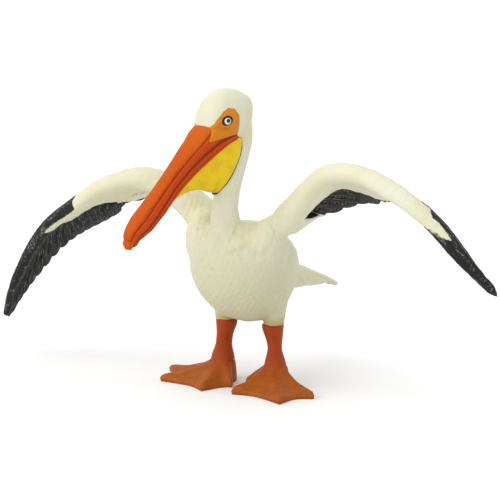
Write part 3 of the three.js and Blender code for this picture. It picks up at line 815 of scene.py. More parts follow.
def vanes(centre, along, lift, half, tilt, thick, show, barb, count):
    """Closed flat feathers, one for each row of centre points. A section is an oval, half wide to
    each side of the shaft and thick high, tilted about the shaft, with a rib along it and slanted
    barb ridges on both faces, all as strong as show says. Gives rings of count points, the lie in
    millimetres along and across each feather, and the height of its ridges."""
    across = unit(np.cross(lift, along))
    angle = np.linspace(0, 2 * np.pi, count, endpoint=False)
    v = np.sign(np.cos(angle)) * np.abs(np.cos(angle)) ** 0.8
    face = np.sign(np.sin(angle)) * np.abs(np.sin(angle)) ** 0.6
    steps = np.linalg.norm(np.diff(centre, axis=1), axis=-1)
    run = np.concatenate([np.zeros((len(centre), 1)), np.cumsum(steps, 1)], 1)[..., None]
    offset = half[..., None] * v
    seed = np.arange(len(centre))[:, None, None]
    lumpy = 0.5 * np.sin(run * 1.3 + seed * 2.1) + 0.35 * np.sin(run * 2.9 + offset * 1.7 + seed)
    ridge = 0.5 + 0.5 * np.cos(2 * np.pi * (run - 2.2 * np.abs(offset)) / barb["pitch"] + lumpy)
    fade = smooth(1 - np.abs(v), 0.0, 0.3) * show[..., None]
    rib = np.exp(-((offset / 0.3) ** 2))
    wave = 0.1 * np.sin(run * 0.45 + seed * 1.7) * fade
    height = face * (thick[..., None] + fade * barb["height"] * (ridge - 0.4) + 0.1 * rib * fade)
    normal = height + tilt[..., None] * v + wave
    rings = centre[:, :, None] + across[:, :, None] * offset[..., None] + lift[:, :, None] * normal[..., None]
    bright = np.maximum(fade * np.maximum(ridge * 0.8, rib), smooth(np.abs(v), 0.8, 1.0) * 0.7)
    place = np.stack(np.broadcast_arrays(run, offset, seed * 7.0), -1)
    return rings, place, bright


def feather_paths(side, count):
    """Shafts of a wing's flight feathers on its middle surface: secondaries slant outwards to the
    trailing edge, primaries fan from the wrist to the tip."""
    k = np.linspace(0, 1, count)
    tip_t = lerp(0.215, TIP, k**0.95)
    tip_s = along_rows(TRAIL[side], tip_t)
    primary = smooth(k, 0.48, 0.66)
    root_t = lerp(tip_t - 0.07, lerp(0.56, 0.76, smooth(k, 0.48, 1.0)), primary)
    hidden = np.minimum(covert_share(side, root_t), covert_share(side, tip_t)) - 0.14
    root_s = lerp(hidden, 0.22, primary)
    u = np.linspace(0, 1, 70)
    t = lerp(root_t[:, None], tip_t[:, None], u)
    s = lerp(root_s[:, None], tip_s[:, None], u ** lerp(1.0, 1.3, primary)[:, None])
    return t, s, u, k


def feather_ink(side, t, s, shafts, rings, width):
    """How deep in a wing's black paint each point of its feathers lies: its shaft's place on the
    wing, moved by how far the point stands out along the span and back along the chord."""
    arm = wing_frame(side, np.minimum(t, 1))
    away = rings - shafts[:, :, None]
    ring_t = t[..., None] + np.einsum("ijkc,ijc->ijk", away, arm["span"]) / REACH
    ring_s = s[..., None] + np.einsum("ijkc,ijc->ijk", away, arm["back"]) / width[..., None]
    over = np.sin(np.linspace(0, 2 * np.pi, rings.shape[2], endpoint=False)) + 0 * ring_t
    return ink_depth(side, ring_t, ring_s, over, width[..., None])


def flight_feathers(side, sizes):
    """All flight feathers of a wing as rings of closed vanes, wide enough to overlap whatever their
    number, with their paint attributes."""
    t, s, u, k = feather_paths(side, sizes.feathers)
    shafts, rise, width = wing_sheet(side, t, s)
    along = unit(np.gradient(shafts, axis=1))
    widest = lerp(3.0, 1.95, smooth(k, 0.5, 1))[:, None] * 22 / sizes.feathers * 1.18
    tip = rounded((u - 0.84) / 0.16, 0.004, 2.2)
    half = widest * lerp(0.6, 1, smooth(u, 0, 0.35)) * tip
    free = smooth(s - covert_share(side, t), -0.06, 0.1)
    tilt = SIDES[side] * 0.4 * free * tip
    thick = 0.3 * lerp(0.45, 1.0, tip) * lerp(0.5, 1.0, free)
    barb = {"pitch": sizes.barb_pitch, "height": sizes.barb_height}
    lift = square_to(rise, along)
    rings, lie, ridge = vanes(shafts, along, lift, half, tilt, thick, free * tip, barb, 18)
    return rings, {"ink": feather_ink(side, t, s, shafts, rings, width), "lie": lie, "ridge": ridge}


def tail_feathers(sizes):
    """The tail's feathers as rings of closed vanes that fan from its root to a scalloped end, with
    their paint attributes."""
    place = np.linspace(-1, 1, TAIL["feathers"])[:, None] * 0.86
    u = np.linspace(0.28, 1.0, 60)[None, :]
    shafts = tail_point(u, place * lerp(0.9, 1.0, u), 1, thick=0.02)
    shafts[..., 2] += 0.3 - 0.5 * np.abs(place)
    along = unit(np.gradient(shafts, axis=1))
    lift = square_to(unit(np.array([0, 0.4, 0.9])), along)
    tip = rounded((u - 0.9) / 0.1, 0.004, 2.2) + 0 * place
    half = lerp(1.3, 1.95, u) * tip
    tilt = 0.22 * np.sign(place + 1e-6) * tip
    thick = lerp(0.4, 0.75, u) * lerp(0.5, 1, tip)
    barb = {"pitch": sizes.barb_pitch, "height": 0.7 * sizes.barb_height}
    rings, lie, ridge = vanes(shafts, along, lift, half, tilt, thick, tip, barb, 16)
    return rings, {"lie": lie, "ridge": ridge}


def per_point(values):
    """Values on rings as one row for each point of joined tubes, with each end's mean at its pole."""
    first, last = values[:, 0].mean(1), values[:, -1].mean(1)
    tail = values.shape[3:]
    flat = values.reshape((len(values), -1) + tail)
    return np.concatenate([flat, first[:, None], last[:, None]], 1).reshape((-1,) + tail)


def strip_map(feathers, rows, columns):
    """Unwrap for a set of vanes: each one is a strip of its own, its length along u and its girth
    along v, with the two faces side by side."""
    each = rows * columns + 2

    def place(corners):
        which, inner = corners // each, corners % each
        row, column = np.minimum(inner // columns, rows - 1), inner % columns
        pole = inner >= rows * columns
        u = np.where(pole, np.where(inner == rows * columns, 0.0, 1.0), row / (rows - 1))
        fold = np.minimum(column, columns - column) / (columns / 2)
        v = np.where(pole, 0.5, fold)
        lower = (column > columns / 2) & ~pole
        return np.stack([0.02 + 0.47 * u + 0.49 * lower, (which + 0.1 + 0.8 * v) / feathers], -1)

    return place


def feather_piece(name, rings, values, finish, nodes):
    """A set of vanes as one piece, unwrapped with a strip for each feather."""
    points, groups = joined([closed_tube(ring) for ring in rings])
    values = {key: per_point(value) for key, value in values.items()}
    piece(name, points, groups, finish, nodes, values, strip_map(*rings.shape[:3]))


# ------------------------------------------------------------------ bill, pouch, eyes, legs


def mouth(t):
    """The mouth line at t: its place, the direction square to it and up, the half width, and the
    depths of the upper and lower half."""
    rows = through(BILL, t)
    centre = head_point(0.0, rows[..., 0], rows[..., 1])
    ahead = through(BILL, t + 0.01)[..., :2] - through(BILL, t - 0.01)[..., :2]
    along = unit(head_point(0.0, ahead[..., 0], ahead[..., 1]) - head_point(0.0, 0.0, 0.0))
    return centre, np.cross(along, ASIDE), rows[..., 2], rows[..., 3], rows[..., 4]


def bill_inset(upper, t, tall, out):
    """How far a half's face draws in: a groove down each side and, on the upper half, a notch where
    the nail begins. The culmen's middle stands out instead, more so on the nail."""
    plain = 1 - smooth(t, 0.84, 0.9)
    if not upper:
        return 0.22 * groove(tall, LOWER_GROOVE, 0.14) * plain
    sides = 0.42 * groove(tall, UPPER_GROOVE, 0.1) + 0.08 * groove(tall, 0.93, 0.1) * (np.abs(out) > 0.5)
    nail = 0.28 * groove(t, NAIL, 0.014) * smooth(tall, 0.3, 0.8)
    culmen = 0.3 * groove(out, 0, 0.28) * (1 - plain) + 0.12 * groove(out, 0, 0.3)
    return sides * plain * smooth(t, 0.1, 0.22) + nail - culmen


def bill_half(upper):
    """Half of the bill: boxy half ovals carried along the mouth line, closed by a flat lip. Also
    gives each point's share of the depth and place along the bill."""
    sign = 1 if upper else -1
    t = np.linspace(*BILL_ENDS["upper" if upper else "lower"], 150)
    centre, rise, half, up, down = mouth(t)
    deep = up + 0.45 if upper else down + 0.25
    wide = half + lerp(0.1, 0.6, smooth(t, 0.12, 0.2)) - 0.5 * smooth(t, 0.25, 0.5)
    wide = wide - (0 if upper else LOWER_INSET)
    angle = np.linspace(0, np.pi, 73)
    out = np.sign(np.cos(angle)) * np.abs(np.cos(angle)) ** BILL_SQUARE
    tall = np.sin(angle) ** BILL_SQUARE
    bumps = 0.05 * np.sin(t * 60)[:, None] * np.cos(angle * 5)
    inset = bill_inset(upper, t[:, None], tall, out) + bumps
    aside = (wide[:, None] - inset) * out
    lift = sign * ((deep[:, None] - inset) * tall + BILL_LIP)
    flanks = centre[:, None] + ASIDE * aside[..., None] + rise[:, None] * lift[..., None]
    across = wide[:, None] * np.linspace(-1, 1, 14)[1:-1]
    lip = (centre + rise * (sign * BILL_LIP))[:, None] + ASIDE * across[..., None]
    share = np.repeat(np.concatenate([tall, np.zeros(12)])[None], len(t), 0)
    return np.concatenate([flanks, lip], 1), share, t[:, None] + 0 * share


def bill_creases(upper, share, along):
    """Strength of the painted shade in a half's grooves and along its lip."""
    side = 0.65 * groove(share, UPPER_GROOVE if upper else LOWER_GROOVE, 0.05)
    lip = 0.7 * groove(share, 0.0, 0.13) * (1 - smooth(along, 0.9, 0.95))
    crease = np.maximum(side * (1 - smooth(along, 0.8, 0.87)), lip)
    if upper:
        return np.maximum(crease, 0.4 * groove(along, NAIL, 0.009) * smooth(share, 0.4, 0.8))
    return np.maximum(crease * (share < 0.4), 0.35 * groove(share, LOWER_GROOVE, 0.1))


def pouch_rings():
    """The bag between the lower bill and the neck: flanks that draw in to a thin lower edge, with
    soft folds across them. Also gives each point's height over the lower edge, as a share."""
    # Its first rings run back into the neck, and the others forwards along the bill.
    back = np.concatenate([np.linspace(1, 0, 8), np.zeros(89)])
    t = np.concatenate([np.zeros(8), np.linspace(0, 1, 90)[1:]])
    centre, rise, half, _, down = mouth(lerp(POUCH["start"], POUCH["reach"], t))
    top = centre - rise * (down / 2)[:, None] - AHEAD * (POUCH["behind"] * back)[:, None]
    edge = through(POUCH_EDGE, t)
    notch = 1.1 * groove(t, 0.09, 0.05) - 0.3 * groove(t, 0.0, 0.03)
    drop = head_point(0.0, edge[:, 0] - POUCH["rooted"] * back, edge[:, 1] + notch) - top
    wide = lerp(POUCH["at_neck"], half - POUCH["inset"], smooth(t, 0, 0.5)) - 0.9 * back**3
    fullness = lerp(5.0, 1.0, smooth(t, 0, 0.6))
    s = np.linspace(0, 1, 44)
    drift = POUCH["drift"] * ((1 - t) ** 2)[:, None] * np.minimum(1, 3 * s)
    width = lerp(wide[:, None], POUCH["edge"], s ** fullness[:, None])
    length = (t * 26)[:, None] + 4 * s
    folds = 0.16 * np.sin(length * 1.5 + 3 * s) * np.sin(np.pi * s) * smooth(t, 0.05, 0.2)[:, None]
    sheet = top[:, None] + drop[:, None] * s[:, None]
    left = sheet + ASIDE * (drift + width + folds)[..., None]
    right = sheet + ASIDE * (drift - width - folds)[..., None]
    hem = np.repeat(np.concatenate([1 - s, 1 - s[::-1]])[None], len(t), 0)
    return np.concatenate([left, right[:, ::-1]], 1), hem


def rear_line(points):
    """Distance from the painted line down the pouch's rear edge, seen from the head's side: negative
    in front of it."""
    _, forward, height = head_place(points)
    flat = np.stack([forward, height], -1)
    away = np.min([from_stroke(flat, a, b) for a, b in zip(REAR[:-1], REAR[1:])], axis=0)
    behind = forward < along_rows([place[::-1] for place in REAR[::-1]], height)
    return np.where(behind, away, -away)


def eye_dome(sign):
    """A shallow dome facing aside and a little ahead: ovals that widen as sin(a) while they sink as
    cos(a). Also gives the distance from the eye's middle and from its pupil's."""
    out = unit(sign * ASIDE + 0.16 * AHEAD)
    forward = square_to(AHEAD, out)
    angle = np.concatenate([np.linspace(0.01, 1.5, 34), np.linspace(1.7, 3.1, 8)])
    turn = np.linspace(0, 2 * np.pi, 64, endpoint=False)
    radius = EYE["radius"]
    ring = radius * np.sin(angle)[:, None]
    ahead, high = ring * np.cos(turn), ring * np.sin(turn)
    bulge = 0.62 * radius * np.cos(angle)[:, None] + 0 * turn
    middle = head_point(sign * (EYE["aside"] + 0.55), EYE["forward"], EYE["height"])
    rings = middle + (EYE["long"] * ahead)[..., None] * forward + high[..., None] * UP
    rings = rings + bulge[..., None] * out
    front = bulge > 0
    reach = np.where(front, np.hypot(ahead, high), 3.0)
    pupil = np.where(front, np.hypot(ahead + 0.1, high - 0.1), 3.0)
    return rings, reach, pupil


def foot_reach(side, angle):
    """How far a foot's edge is from its leg at an angle from its middle line: straight webs between
    toe ends that draw back in the middle, and a rounded heel."""
    toe, length = np.array(TOES[side], float).T
    i = np.clip(np.searchsorted(toe, angle), 1, len(toe) - 1)
    before, after, short, long = toe[i - 1], toe[i], length[i - 1], length[i]
    turned, left = np.radians(angle - before), np.radians(after - angle)
    web = short * long * np.sin(turned + left) / (short * np.sin(turned) + long * np.sin(left))
    f = (angle - before) / (after - before)
    web = web * (1 - FOOT["web_dip"] * 4 * f * (1 - f))
    outside = np.maximum(toe[0] - angle, angle - toe[-1])
    end = np.where(angle < toe[0], length[0], length[-1])
    heel = lerp(end, FOOT["heel"], np.sqrt(smooth(outside, 0, FOOT["heel_turn"])))
    return np.where(outside > 0, heel, web)


def shank_rows(sign, lean, heading, angle):
    """Radius, height and lean of the sections down a leg: round, longer fore and aft low down,
    widening into the foot, and with a flare inwards under the body."""
    z = np.linspace(LEG["feathered"] + 2.6, LEG["ankle"], 44)[:, None]
    bare = lerp(LEG["shank"], LEG["knee"], smooth(z, LEG["middle"], LEG["feathered"] + 1))
    radius = lerp(LEG["heel"], bare, smooth(z, LEG["ankle"], LEG["spread"] + 1.5))
    oval = 0.16 * np.cos(2 * np.radians(angle - 10)) * (1 - smooth(z, 12, 16))
    inner = np.clip(-sign * np.sin(heading), 0, 1)
    flare = 0.8 * inner * smooth(z, 14.0, 18.6) * (1 - smooth(z, 18.8, 19.8))
    level = 0 * angle
    return radius + oval + flare, z + level, lean * smooth(z, LEG["ankle"], LEG["feathered"]) + level


def foot_rows(side, angle):
    """Reach and height of the rings that spread over a foot's toes and webs to its edge, round it
    and back under the flat sole: ridges along the toes that fade into the webs between them."""
    share = np.linspace(0, 1, 46)[1:, None] ** 1.15
    edge = foot_reach(side, angle)[None]
    reach = lerp(LEG["heel"], edge, share)
    toes = np.array(TOES[side])[:, 0][:, None, None]
    near = np.exp(-(((angle - toes) / (FOOT["toe_width"] * lerp(2.0, 0.9, share))) ** 2)).max(0)
    knuckle = 0.12 * np.cos(share * 15) * near
    plate = FOOT["web"] + (FOOT["ridge"] * lerp(1, FOOT["toe_end"], share) + knuckle) * near
    instep = np.exp(-(reach - LEG["heel"]) / FOOT["flare"]) * (1 - share**3)
    rim = np.sqrt(1 - np.clip((share - 0.92) / 0.08, 0, 1) ** 2 * 0.7)
    sole = np.linspace(1, 0.08, 14)[:, None] * edge * 0.985
    top = lerp(plate, LEG["ankle"], instep) * rim
    return np.concatenate([reach, sole]), np.concatenate([top, 0 * sole])


def leg_rings(side):
    """A leg and its webbed foot as one surface of rings about the leg's own line, with the bend
    between them drawn smooth."""
    place, sign = STANCE[side], SIDES[side]
    angle = np.linspace(-180, 180, 180, endpoint=False)
    heading = sign * np.radians(place["out"] + angle)
    radius, level, lean = shank_rows(sign, place["lean"], heading, angle)
    reach, rise = foot_rows(side, angle)
    distance, height = np.concatenate([radius, reach]), np.concatenate([level, rise])
    for _ in range(6):
        for rows in (distance, height):
            rows[30:80] = lerp(rows[30:80], (rows[29:79] + rows[31:81]) / 2, 0.5)
    x = place["x"] + np.concatenate([lean, 0 * reach]) + distance * np.sin(heading)
    y = place["y"] - distance * np.cos(heading)
    rings = np.stack([x, y, height], -1)
    lumps = ripple(rings.reshape(-1, 3), 3.2, 12).reshape(height.shape)
    rings[..., 2] += 0.1 * lumps * smooth(height, 0.4, 1.2) * smooth(-height, -17, -15)
    return rings


# ------------------------------------------------------------------ materials


class Wire:
    """An output socket of a node. Sums written with it in Python add their Math nodes."""

    def __init__(self, finish, socket):
        self.finish = finish
        self.socket = socket

    def _math(self, operation, first, second):
        settings = {"operation": operation}
        return self.finish.node("ShaderNodeMath", settings, {0: first, 1: second})

    def __add__(self, other):
        return self._math("ADD", self, other)

    __radd__ = __add__

    def __mul__(self, other):
        return self._math("MULTIPLY", self, other)

    __rmul__ = __mul__

    def __sub__(self, other):
        return self._math("SUBTRACT", self, other)

    def __rsub__(self, other):
        return self._math("SUBTRACT", other, self)

    def above(self, low, high):
        """0 below low, 1 above high and a smooth step between."""
        settings = {"interpolation_type": "SMOOTHSTEP"}
        inputs = {"Value": self, "From Min": low, "From Max": high}
        return self.finish.node("ShaderNodeMapRange", settings, inputs)

    def either(self, other):
        """The larger of two numbers."""
        return self._math("MAXIMUM", self, other)


class Finish:
    """A material in the making, whose surface is one Principled shader."""

    def __init__(self, name, roughness, **constants):
        self.material = bpy.data.materials.new(name)
        self.material.use_nodes = True
        self.tree = self.material.node_tree
        self.shader = self.tree.nodes["Principled BSDF"]
        self.shader.inputs["Specular IOR Level"].default_value = 0.2
        self.feed(self.shader.inputs["Roughness"], roughness)
        for key, value in constants.items():
            self.shader.inputs[key.replace("_", " ")].default_value = value
        self.place = self.node("ShaderNodeTexCoord", output="Object")

    def feed(self, socket, value):
        """Sets a socket to a number or a colour, or links a wire to it."""
        if isinstance(value, Wire):
            self.tree.links.new(value.socket, socket)
        else:
            socket.default_value = value

    def node(self, kind, settings=None, inputs=None, output=0):
        """A node of any kind: its settings are set first, then its sockets' values or links."""
        node = self.tree.nodes.new(kind)
        for key, value in (settings or {}).items():
            setattr(node, key, value)
        for key, value in (inputs or {}).items():
            self.feed(node.inputs[key], value)
        return Wire(self, node.outputs[output])

    def axis(self, letter):
        """One of the piece's own coordinates, in metres."""
        return self.node("ShaderNodeSeparateXYZ", None, {0: self.place}, letter)

    def attribute(self, name, output="Fac"):
        """A mesh attribute as a number, or as a vector."""
        return self.node("ShaderNodeAttribute", {"attribute_name": name}, output=output)

    def noise(self, size, detail=3.0, vector=None, distortion=0.0):
        """Cloudy noise about 0.5 with lumps of a size in metres, or in a vector's own unit."""
        inputs = {"Vector": vector or self.place, "Scale": 1 / size, "Detail": detail,
                  "Distortion": distortion}
        return self.node("ShaderNodeTexNoise", None, inputs)

    def wobble(self, size, reach):
        """Noise about 0, which roughens a painted edge."""
        return (self.noise(size) - 0.5) * reach

    def streaks(self, along, across):
        """Noise drawn out along a feather's lie, in millimetres of the lie attribute."""
        lie = self.attribute("lie", "Vector")
        scale = {"Vector": lie, "Scale": (1 / along, 1 / across, 1.0)}
        return self.noise(1.0, 4.0, self.node("ShaderNodeMapping", None, scale))

    def mix(self, share, first, second):
        """Two colours mixed."""
        settings = {"data_type": "RGBA"}
        return self.node("ShaderNodeMix", settings, {0: share, 6: first, 7: second}, 2)

    def bump(self, height, depth, strength=1.0):
        """Raises the surface by a height from 0 to 1 times a depth in metres."""
        inputs = {"Height": height, "Distance": depth, "Strength": strength}
        self.feed(self.shader.inputs["Normal"], self.node("ShaderNodeBump", None, inputs))

    def colour(self, value):
        """Sets the surface's colour and gives the material."""
        self.feed(self.shader.inputs["Base Color"], value)
        return self.material


def rgba(colour):
    """A colour property as a node colour."""
    return (*colour, 1.0)


def ivory_paint(finish, colours):
    """Warm white vinyl: cloudy tint, darker and yellower low down, partly its yellower tone and partly
    painted shade, and a brown wash that also stands for painted shade in the hollows and near the legs.
    """
    tint = finish.noise(9 * MM).above(0.35, 0.7)
    ground = finish.mix(tint, rgba(colours.ivory), rgba(colours.ivory_warm))
    # Low down, except towards the rump, the ivory is darker and yellower: partly the vinyl's tone, partly
    # painted shade on the lower body.
    high = finish.axis("Z").above(28 * MM, 54 * MM)
    rear = finish.axis("Y").above(float(SHIFT[1]) + 8 * MM, float(SHIFT[1]) + 16 * MM)
    ground = finish.mix(high.either(rear), rgba(colours.ivory_low_shaded), ground)
    # Brown paint wash that also stands for painted shade, strongest in the hollows.
    wash_and_shade = finish.attribute("hollow") * (finish.noise(2.5 * MM, 4.0) * 0.7 + 0.6)
    return finish.mix(wash_and_shade.above(0.05, 1.1), ground, rgba(colours.wash_and_shade))


def ink_paint(finish, colours, grain):
    """Black paint with grey brushed over its ridges, broken up by a grain."""
    brushed = finish.attribute("ridge") * 0.42 + grain * 1.9 - 0.8
    soot = finish.mix(finish.noise(1.5 * MM), rgba(colours.ink), rgba(colours.ink_warm))
    return finish.mix(brushed.above(0.3, 0.95), soot, rgba(colours.brushed))


def skin_finish(colours):
    """The skin: ivory, black wing tips, the orange bare face and thin black marks."""
    finish = Finish("skin_paint", 0.5)
    wobble = finish.wobble(0.9 * MM, 0.7)
    ink = (finish.attribute("ink") + wobble * 0.6).above(-0.12, 0.14)
    face = (finish.attribute("face") + wobble * 0.4).above(-0.05, 0.07)
    rim = (finish.attribute("face") + wobble * 0.6).above(0.1, 0.6)
    line = (finish.attribute("line") + wobble * 0.5).above(-0.04, 0.06)
    bare = finish.mix(rim, rgba(colours.face_rim), rgba(colours.face))
    black = ink_paint(finish, colours, finish.noise(0.7 * MM, 4.0, distortion=0.6) - 0.06)
    base = finish.mix(ink, ivory_paint(finish, colours), black)
    base = finish.mix(line, finish.mix(face, base, bare), rgba(colours.ink))
    finish.bump(finish.noise(0.55 * MM, 4.0), 0.05 * MM, 0.5)
    finish.feed(finish.shader.inputs["Roughness"], 0.46 + ink * 0.12)
    return finish.colour(base)


def feather_finish(colours):
    """Flight feathers: black with brushed grey, white where the wing's paint edge lies outside."""
    finish = Finish("feather_paint", 0.6)
    ink = (finish.attribute("ink") + finish.wobble(0.9 * MM, 0.7)).above(-0.08, 0.1)
    finish.bump(finish.streaks(2.4, 0.22), 0.09 * MM, 0.9)
    black = ink_paint(finish, colours, finish.streaks(3.0, 0.45))
    return finish.colour(finish.mix(ink, rgba(colours.ivory_warm), black))


def tail_finish(colours):
    """Ivory feathers with the brown wash and painted shade in the dips between their barb ridges, and faint
    random patches of the wash.
    """
    finish = Finish("tail_paint", 0.5)
    finish.bump(finish.streaks(2.4, 0.25), 0.06 * MM, 0.6)
    # Darker between the barb ridges: brown wash and painted shade.
    low = (1 - finish.attribute("ridge")) * 0.12 + finish.noise(3 * MM) * 0.08
    ground = finish.mix(finish.noise(9 * MM), rgba(colours.ivory), rgba(colours.ivory_warm))
    return finish.colour(finish.mix(low, ground, rgba(colours.wash_and_shade)))


def bill_finish(colours):
    """Bill: bright orange above the side groove, paler at its base and tip and with a painted highlight along
    the ridge's top, red-orange below it, painted shade in the grooves, and the face's lighter wedge at its
    base."""
    finish = Finish("bill_paint", 0.45, Specular_IOR_Level=0.06)
    soft = finish.wobble(1.1 * MM, 0.1)
    above = (finish.attribute("share") + soft).above(UPPER_GROOVE - 0.03, UPPER_GROOVE + 0.1)
    tip = (finish.attribute("along") + soft * 0.3).above(0.66, 0.95)
    streaked = finish.noise(3.5 * MM, 4.0)
    side = finish.mix(streaked, rgba(colours.bill_side), rgba(colours.bill_deep))
    light = (1 - (finish.attribute("along") + soft).above(0.15, 0.45)).either(tip)
    # Along the ridge's top the paler orange is a painted highlight.
    light = light.either((finish.attribute("share") + soft).above(0.88, 1.02) * 0.7)
    top = finish.mix(light, rgba(colours.culmen), rgba(colours.culmen_light))
    base = finish.mix(above.either(tip * 0.75), side, top)
    # Painted shade in the grooves and along the lip.
    dark = finish.mix(finish.attribute("crease"), base, rgba(colours.crease))
    face = (finish.attribute("face") + soft).above(-0.05, 0.07)
    base = finish.mix(face, dark, rgba(colours.face))
    finish.bump(finish.noise(0.8 * MM, 4.0), 0.06 * MM, 0.6)
    return finish.colour(base)


def pouch_finish(colours):
    """Pouch: yellow, browner in patches and along its lower edge, with a black line down its rear edge and
    the neck's ivory behind that."""
    finish = Finish("pouch_paint", 0.45)
    line = (finish.attribute("rear") + finish.wobble(1.2 * MM, 0.25)).above(-0.3, -0.15)
    hem = finish.attribute("hem").above(0.0, 0.14)
    patch = finish.noise(4 * MM).above(0.42, 0.72)
    base = finish.mix(patch, rgba(colours.pouch), rgba(colours.pouch_deep))
    base = finish.mix(hem, rgba(colours.pouch_deep), base)
    finish.bump(finish.noise(1.0 * MM, 4.0), 0.06 * MM, 0.5)
    behind = finish.attribute("rear").above(0.25, 0.35)
    inked = finish.mix(line, base, rgba(colours.ink))
    # Behind the line lies the neck's darker low ivory, which holds painted shade.
    return finish.colour(finish.mix(behind, inked, rgba(colours.ivory_low_shaded)))


def eye_finish(colours):
    """Eye: a black outline, a white ring and a black pupil, each with a sharp painted edge."""
    finish = Finish("eye_gloss", 0.18, Coat_Weight=0.5)
    ring = finish.attribute("reach").above(0.9, 0.98)
    pupil = 1 - finish.attribute("pupil").above(0.55, 0.65)
    white = finish.mix(finish.noise(0.6 * MM), rgba(colours.eye_white), rgba(colours.ivory))
    return finish.colour(finish.mix(ring.either(pupil), white, rgba(colours.ink)))


def leg_finish(colours):
    """Legs and feet: burnt orange, darker and browner on the shanks and paler on the feet, partly their
    paint's tones and partly painted shade on the upright shanks and painted light on the feet's tops, with
    random dark patches.
    """
    finish = Finish("leg_paint", 0.56)
    # Shanks darker, feet paler: partly the paint's tones, partly painted shade and painted light.
    high = finish.axis("Z").above(2 * MM, 11 * MM)
    mottle = finish.noise(2.6 * MM, 5.0)
    foot = finish.mix(mottle, rgba(colours.foot), rgba(colours.foot_deep))
    shank = finish.mix(mottle, rgba(colours.shank), rgba(colours.shank_deep))
    dirt = finish.noise(1.3 * MM, 5.0, distortion=0.6).above(0.6, 0.78) * 0.5
    finish.bump(finish.noise(0.7 * MM, 4.0), 0.08 * MM, 0.6)
    return finish.colour(finish.mix(dirt, finish.mix(high, foot, shank), rgba(colours.crease)))


def floor_finish(colours):
    """Plain matte studio floor with the faintest grain."""
    finish = Finish("studio_floor", 0.9)
    pale = rgba(colours.floor)
    return finish.colour(finish.mix(finish.noise(0.4) * 0.02, pale, (0.83, 0.83, 0.83, 1.0)))


# ------------------------------------------------------------------ settings


def size_property(name, description, default, low, high, unit="NONE"):
    """A number that a user may change."""
    return bpy.props.FloatProperty(
        name=name, description=description, default=default, min=low, max=high, unit=unit
    )


def angle_property(name, description, degrees):
    """An angle that a user may change."""
    return bpy.props.FloatProperty(
        name=name, description=description, default=float(np.radians(degrees)), subtype="ANGLE"
    )


def colour_property(name, description, default):
    """A linear colour that a user may change."""
    return bpy.props.FloatVectorProperty(
        name=name, description=description, default=default, subtype="COLOR", min=0.0, max=1.0, size=3
    )


class PelicanSizes(bpy.types.PropertyGroup):
    """Sizes of the figure's relief and of the view."""

    voxel: size_property("Skin Voxel", "Edge of the skin's faces in millimetres", 0.404, 0.3, 1.5)
    relief: size_property("Relief", "Strength of the moulded feather relief", 1.0, 0.0, 3.0)
    barb_pitch: size_property("Barb Pitch", "Distance between barb ridges in millimetres", 1.05, 0.5, 5.0)
    barb_height: size_property("Barb Height", "Height of barb ridges in millimetres", 0.11, 0.0, 0.5)
    feathers: bpy.props.IntProperty(
        name="Flight Feathers", description="Flight feathers on each wing", default=28, min=8, max=40
    )
    distance: size_property("Camera Distance", "From the figure's middle", 0.52, 0.2, 3.0, "LENGTH")
    azimuth: angle_property("Azimuth", "Turn of the camera to the figure's left", 35)
    elevation: angle_property("Elevation", "Height of the camera over the floor as an angle", 10.5)
    lens: size_property("Lens", "Focal length in millimetres", 126.55, 20.0, 300.0)


class PelicanColours(bpy.types.PropertyGroup):
    """Paint colours of the figure, as linear light."""

    ivory: colour_property("Ivory", "Body and wings", (0.645, 0.64, 0.5))
    ivory_warm: colour_property("Warm Ivory", "Cloudy tint of the ivory", (0.63, 0.61, 0.41))
    # Darker, yellower ivory: partly the vinyl's tone, partly painted shade on the lower body.
    ivory_low_shaded: colour_property("Low Ivory", "Yellower ivory of neck and belly", (0.545, 0.535, 0.36))
    # Brown wash that also serves as painted shade in the hollows.
    wash_and_shade: colour_property("Wash", "Brown wash in the hollows", (0.42, 0.35, 0.14))
    ink: colour_property("Ink", "Black of feathers and lines", (0.006, 0.0075, 0.006))
    ink_warm: colour_property("Warm Ink", "Second black of the feathers", (0.014, 0.015, 0.013))
    brushed: colour_property("Brushed Grey", "Grey on the feathers' ridges", (0.2, 0.205, 0.18))
    face: colour_property("Face", "Bare skin round the eye", (0.6, 0.2, 0.012))
    face_rim: colour_property("Face Rim", "Darker edge of the bare skin", (0.55, 0.2, 0.02))
    culmen: colour_property("Culmen", "Top of the bill", (0.43, 0.05, 0.003))
    # Paler orange of the bill's base and tip, and the painted highlight along its ridge.
    culmen_light: colour_property("Light Culmen", "Paler orange of the bill's base", (0.5, 0.095, 0.004))
    bill_side: colour_property("Bill Side", "Sides of the bill", (0.53, 0.066, 0.007))
    bill_deep: colour_property("Deep Bill Side", "Deeper streaks on the sides", (0.46, 0.052, 0.007))
    # Painted shade in the bill's grooves, and the legs' random dark patches.
    crease: colour_property("Crease", "Dark paint in grooves", (0.12, 0.014, 0.005))
    pouch: colour_property("Pouch", "Yellow of the pouch", (0.74, 0.52, 0.008))
    pouch_deep: colour_property("Deep Pouch", "Browner yellow", (0.66, 0.42, 0.008))
    eye_white: colour_property("Eye Ring", "White ring of the eye", (0.82, 0.82, 0.8))
    # The shank's darker orange is partly painted shade, the foot's paler orange partly painted light.
    shank: colour_property("Shank", "Legs", (0.38, 0.052, 0.004))
    shank_deep: colour_property("Deep Shank", "Darker patches of the legs", (0.28, 0.036, 0.004))
    foot: colour_property("Foot", "Feet", (0.4, 0.105, 0.004))
    foot_deep: colour_property("Deep Foot", "Darker patches of the feet", (0.27, 0.052, 0.006))
    floor: colour_property("Floor", "Studio floor", (0.87, 0.87, 0.87))


# ------------------------------------------------------------------ operators


def settings(context):
    """The add-on's sizes and colours."""
    return context.scene.pelican_sizes, context.scene.pelican_colours


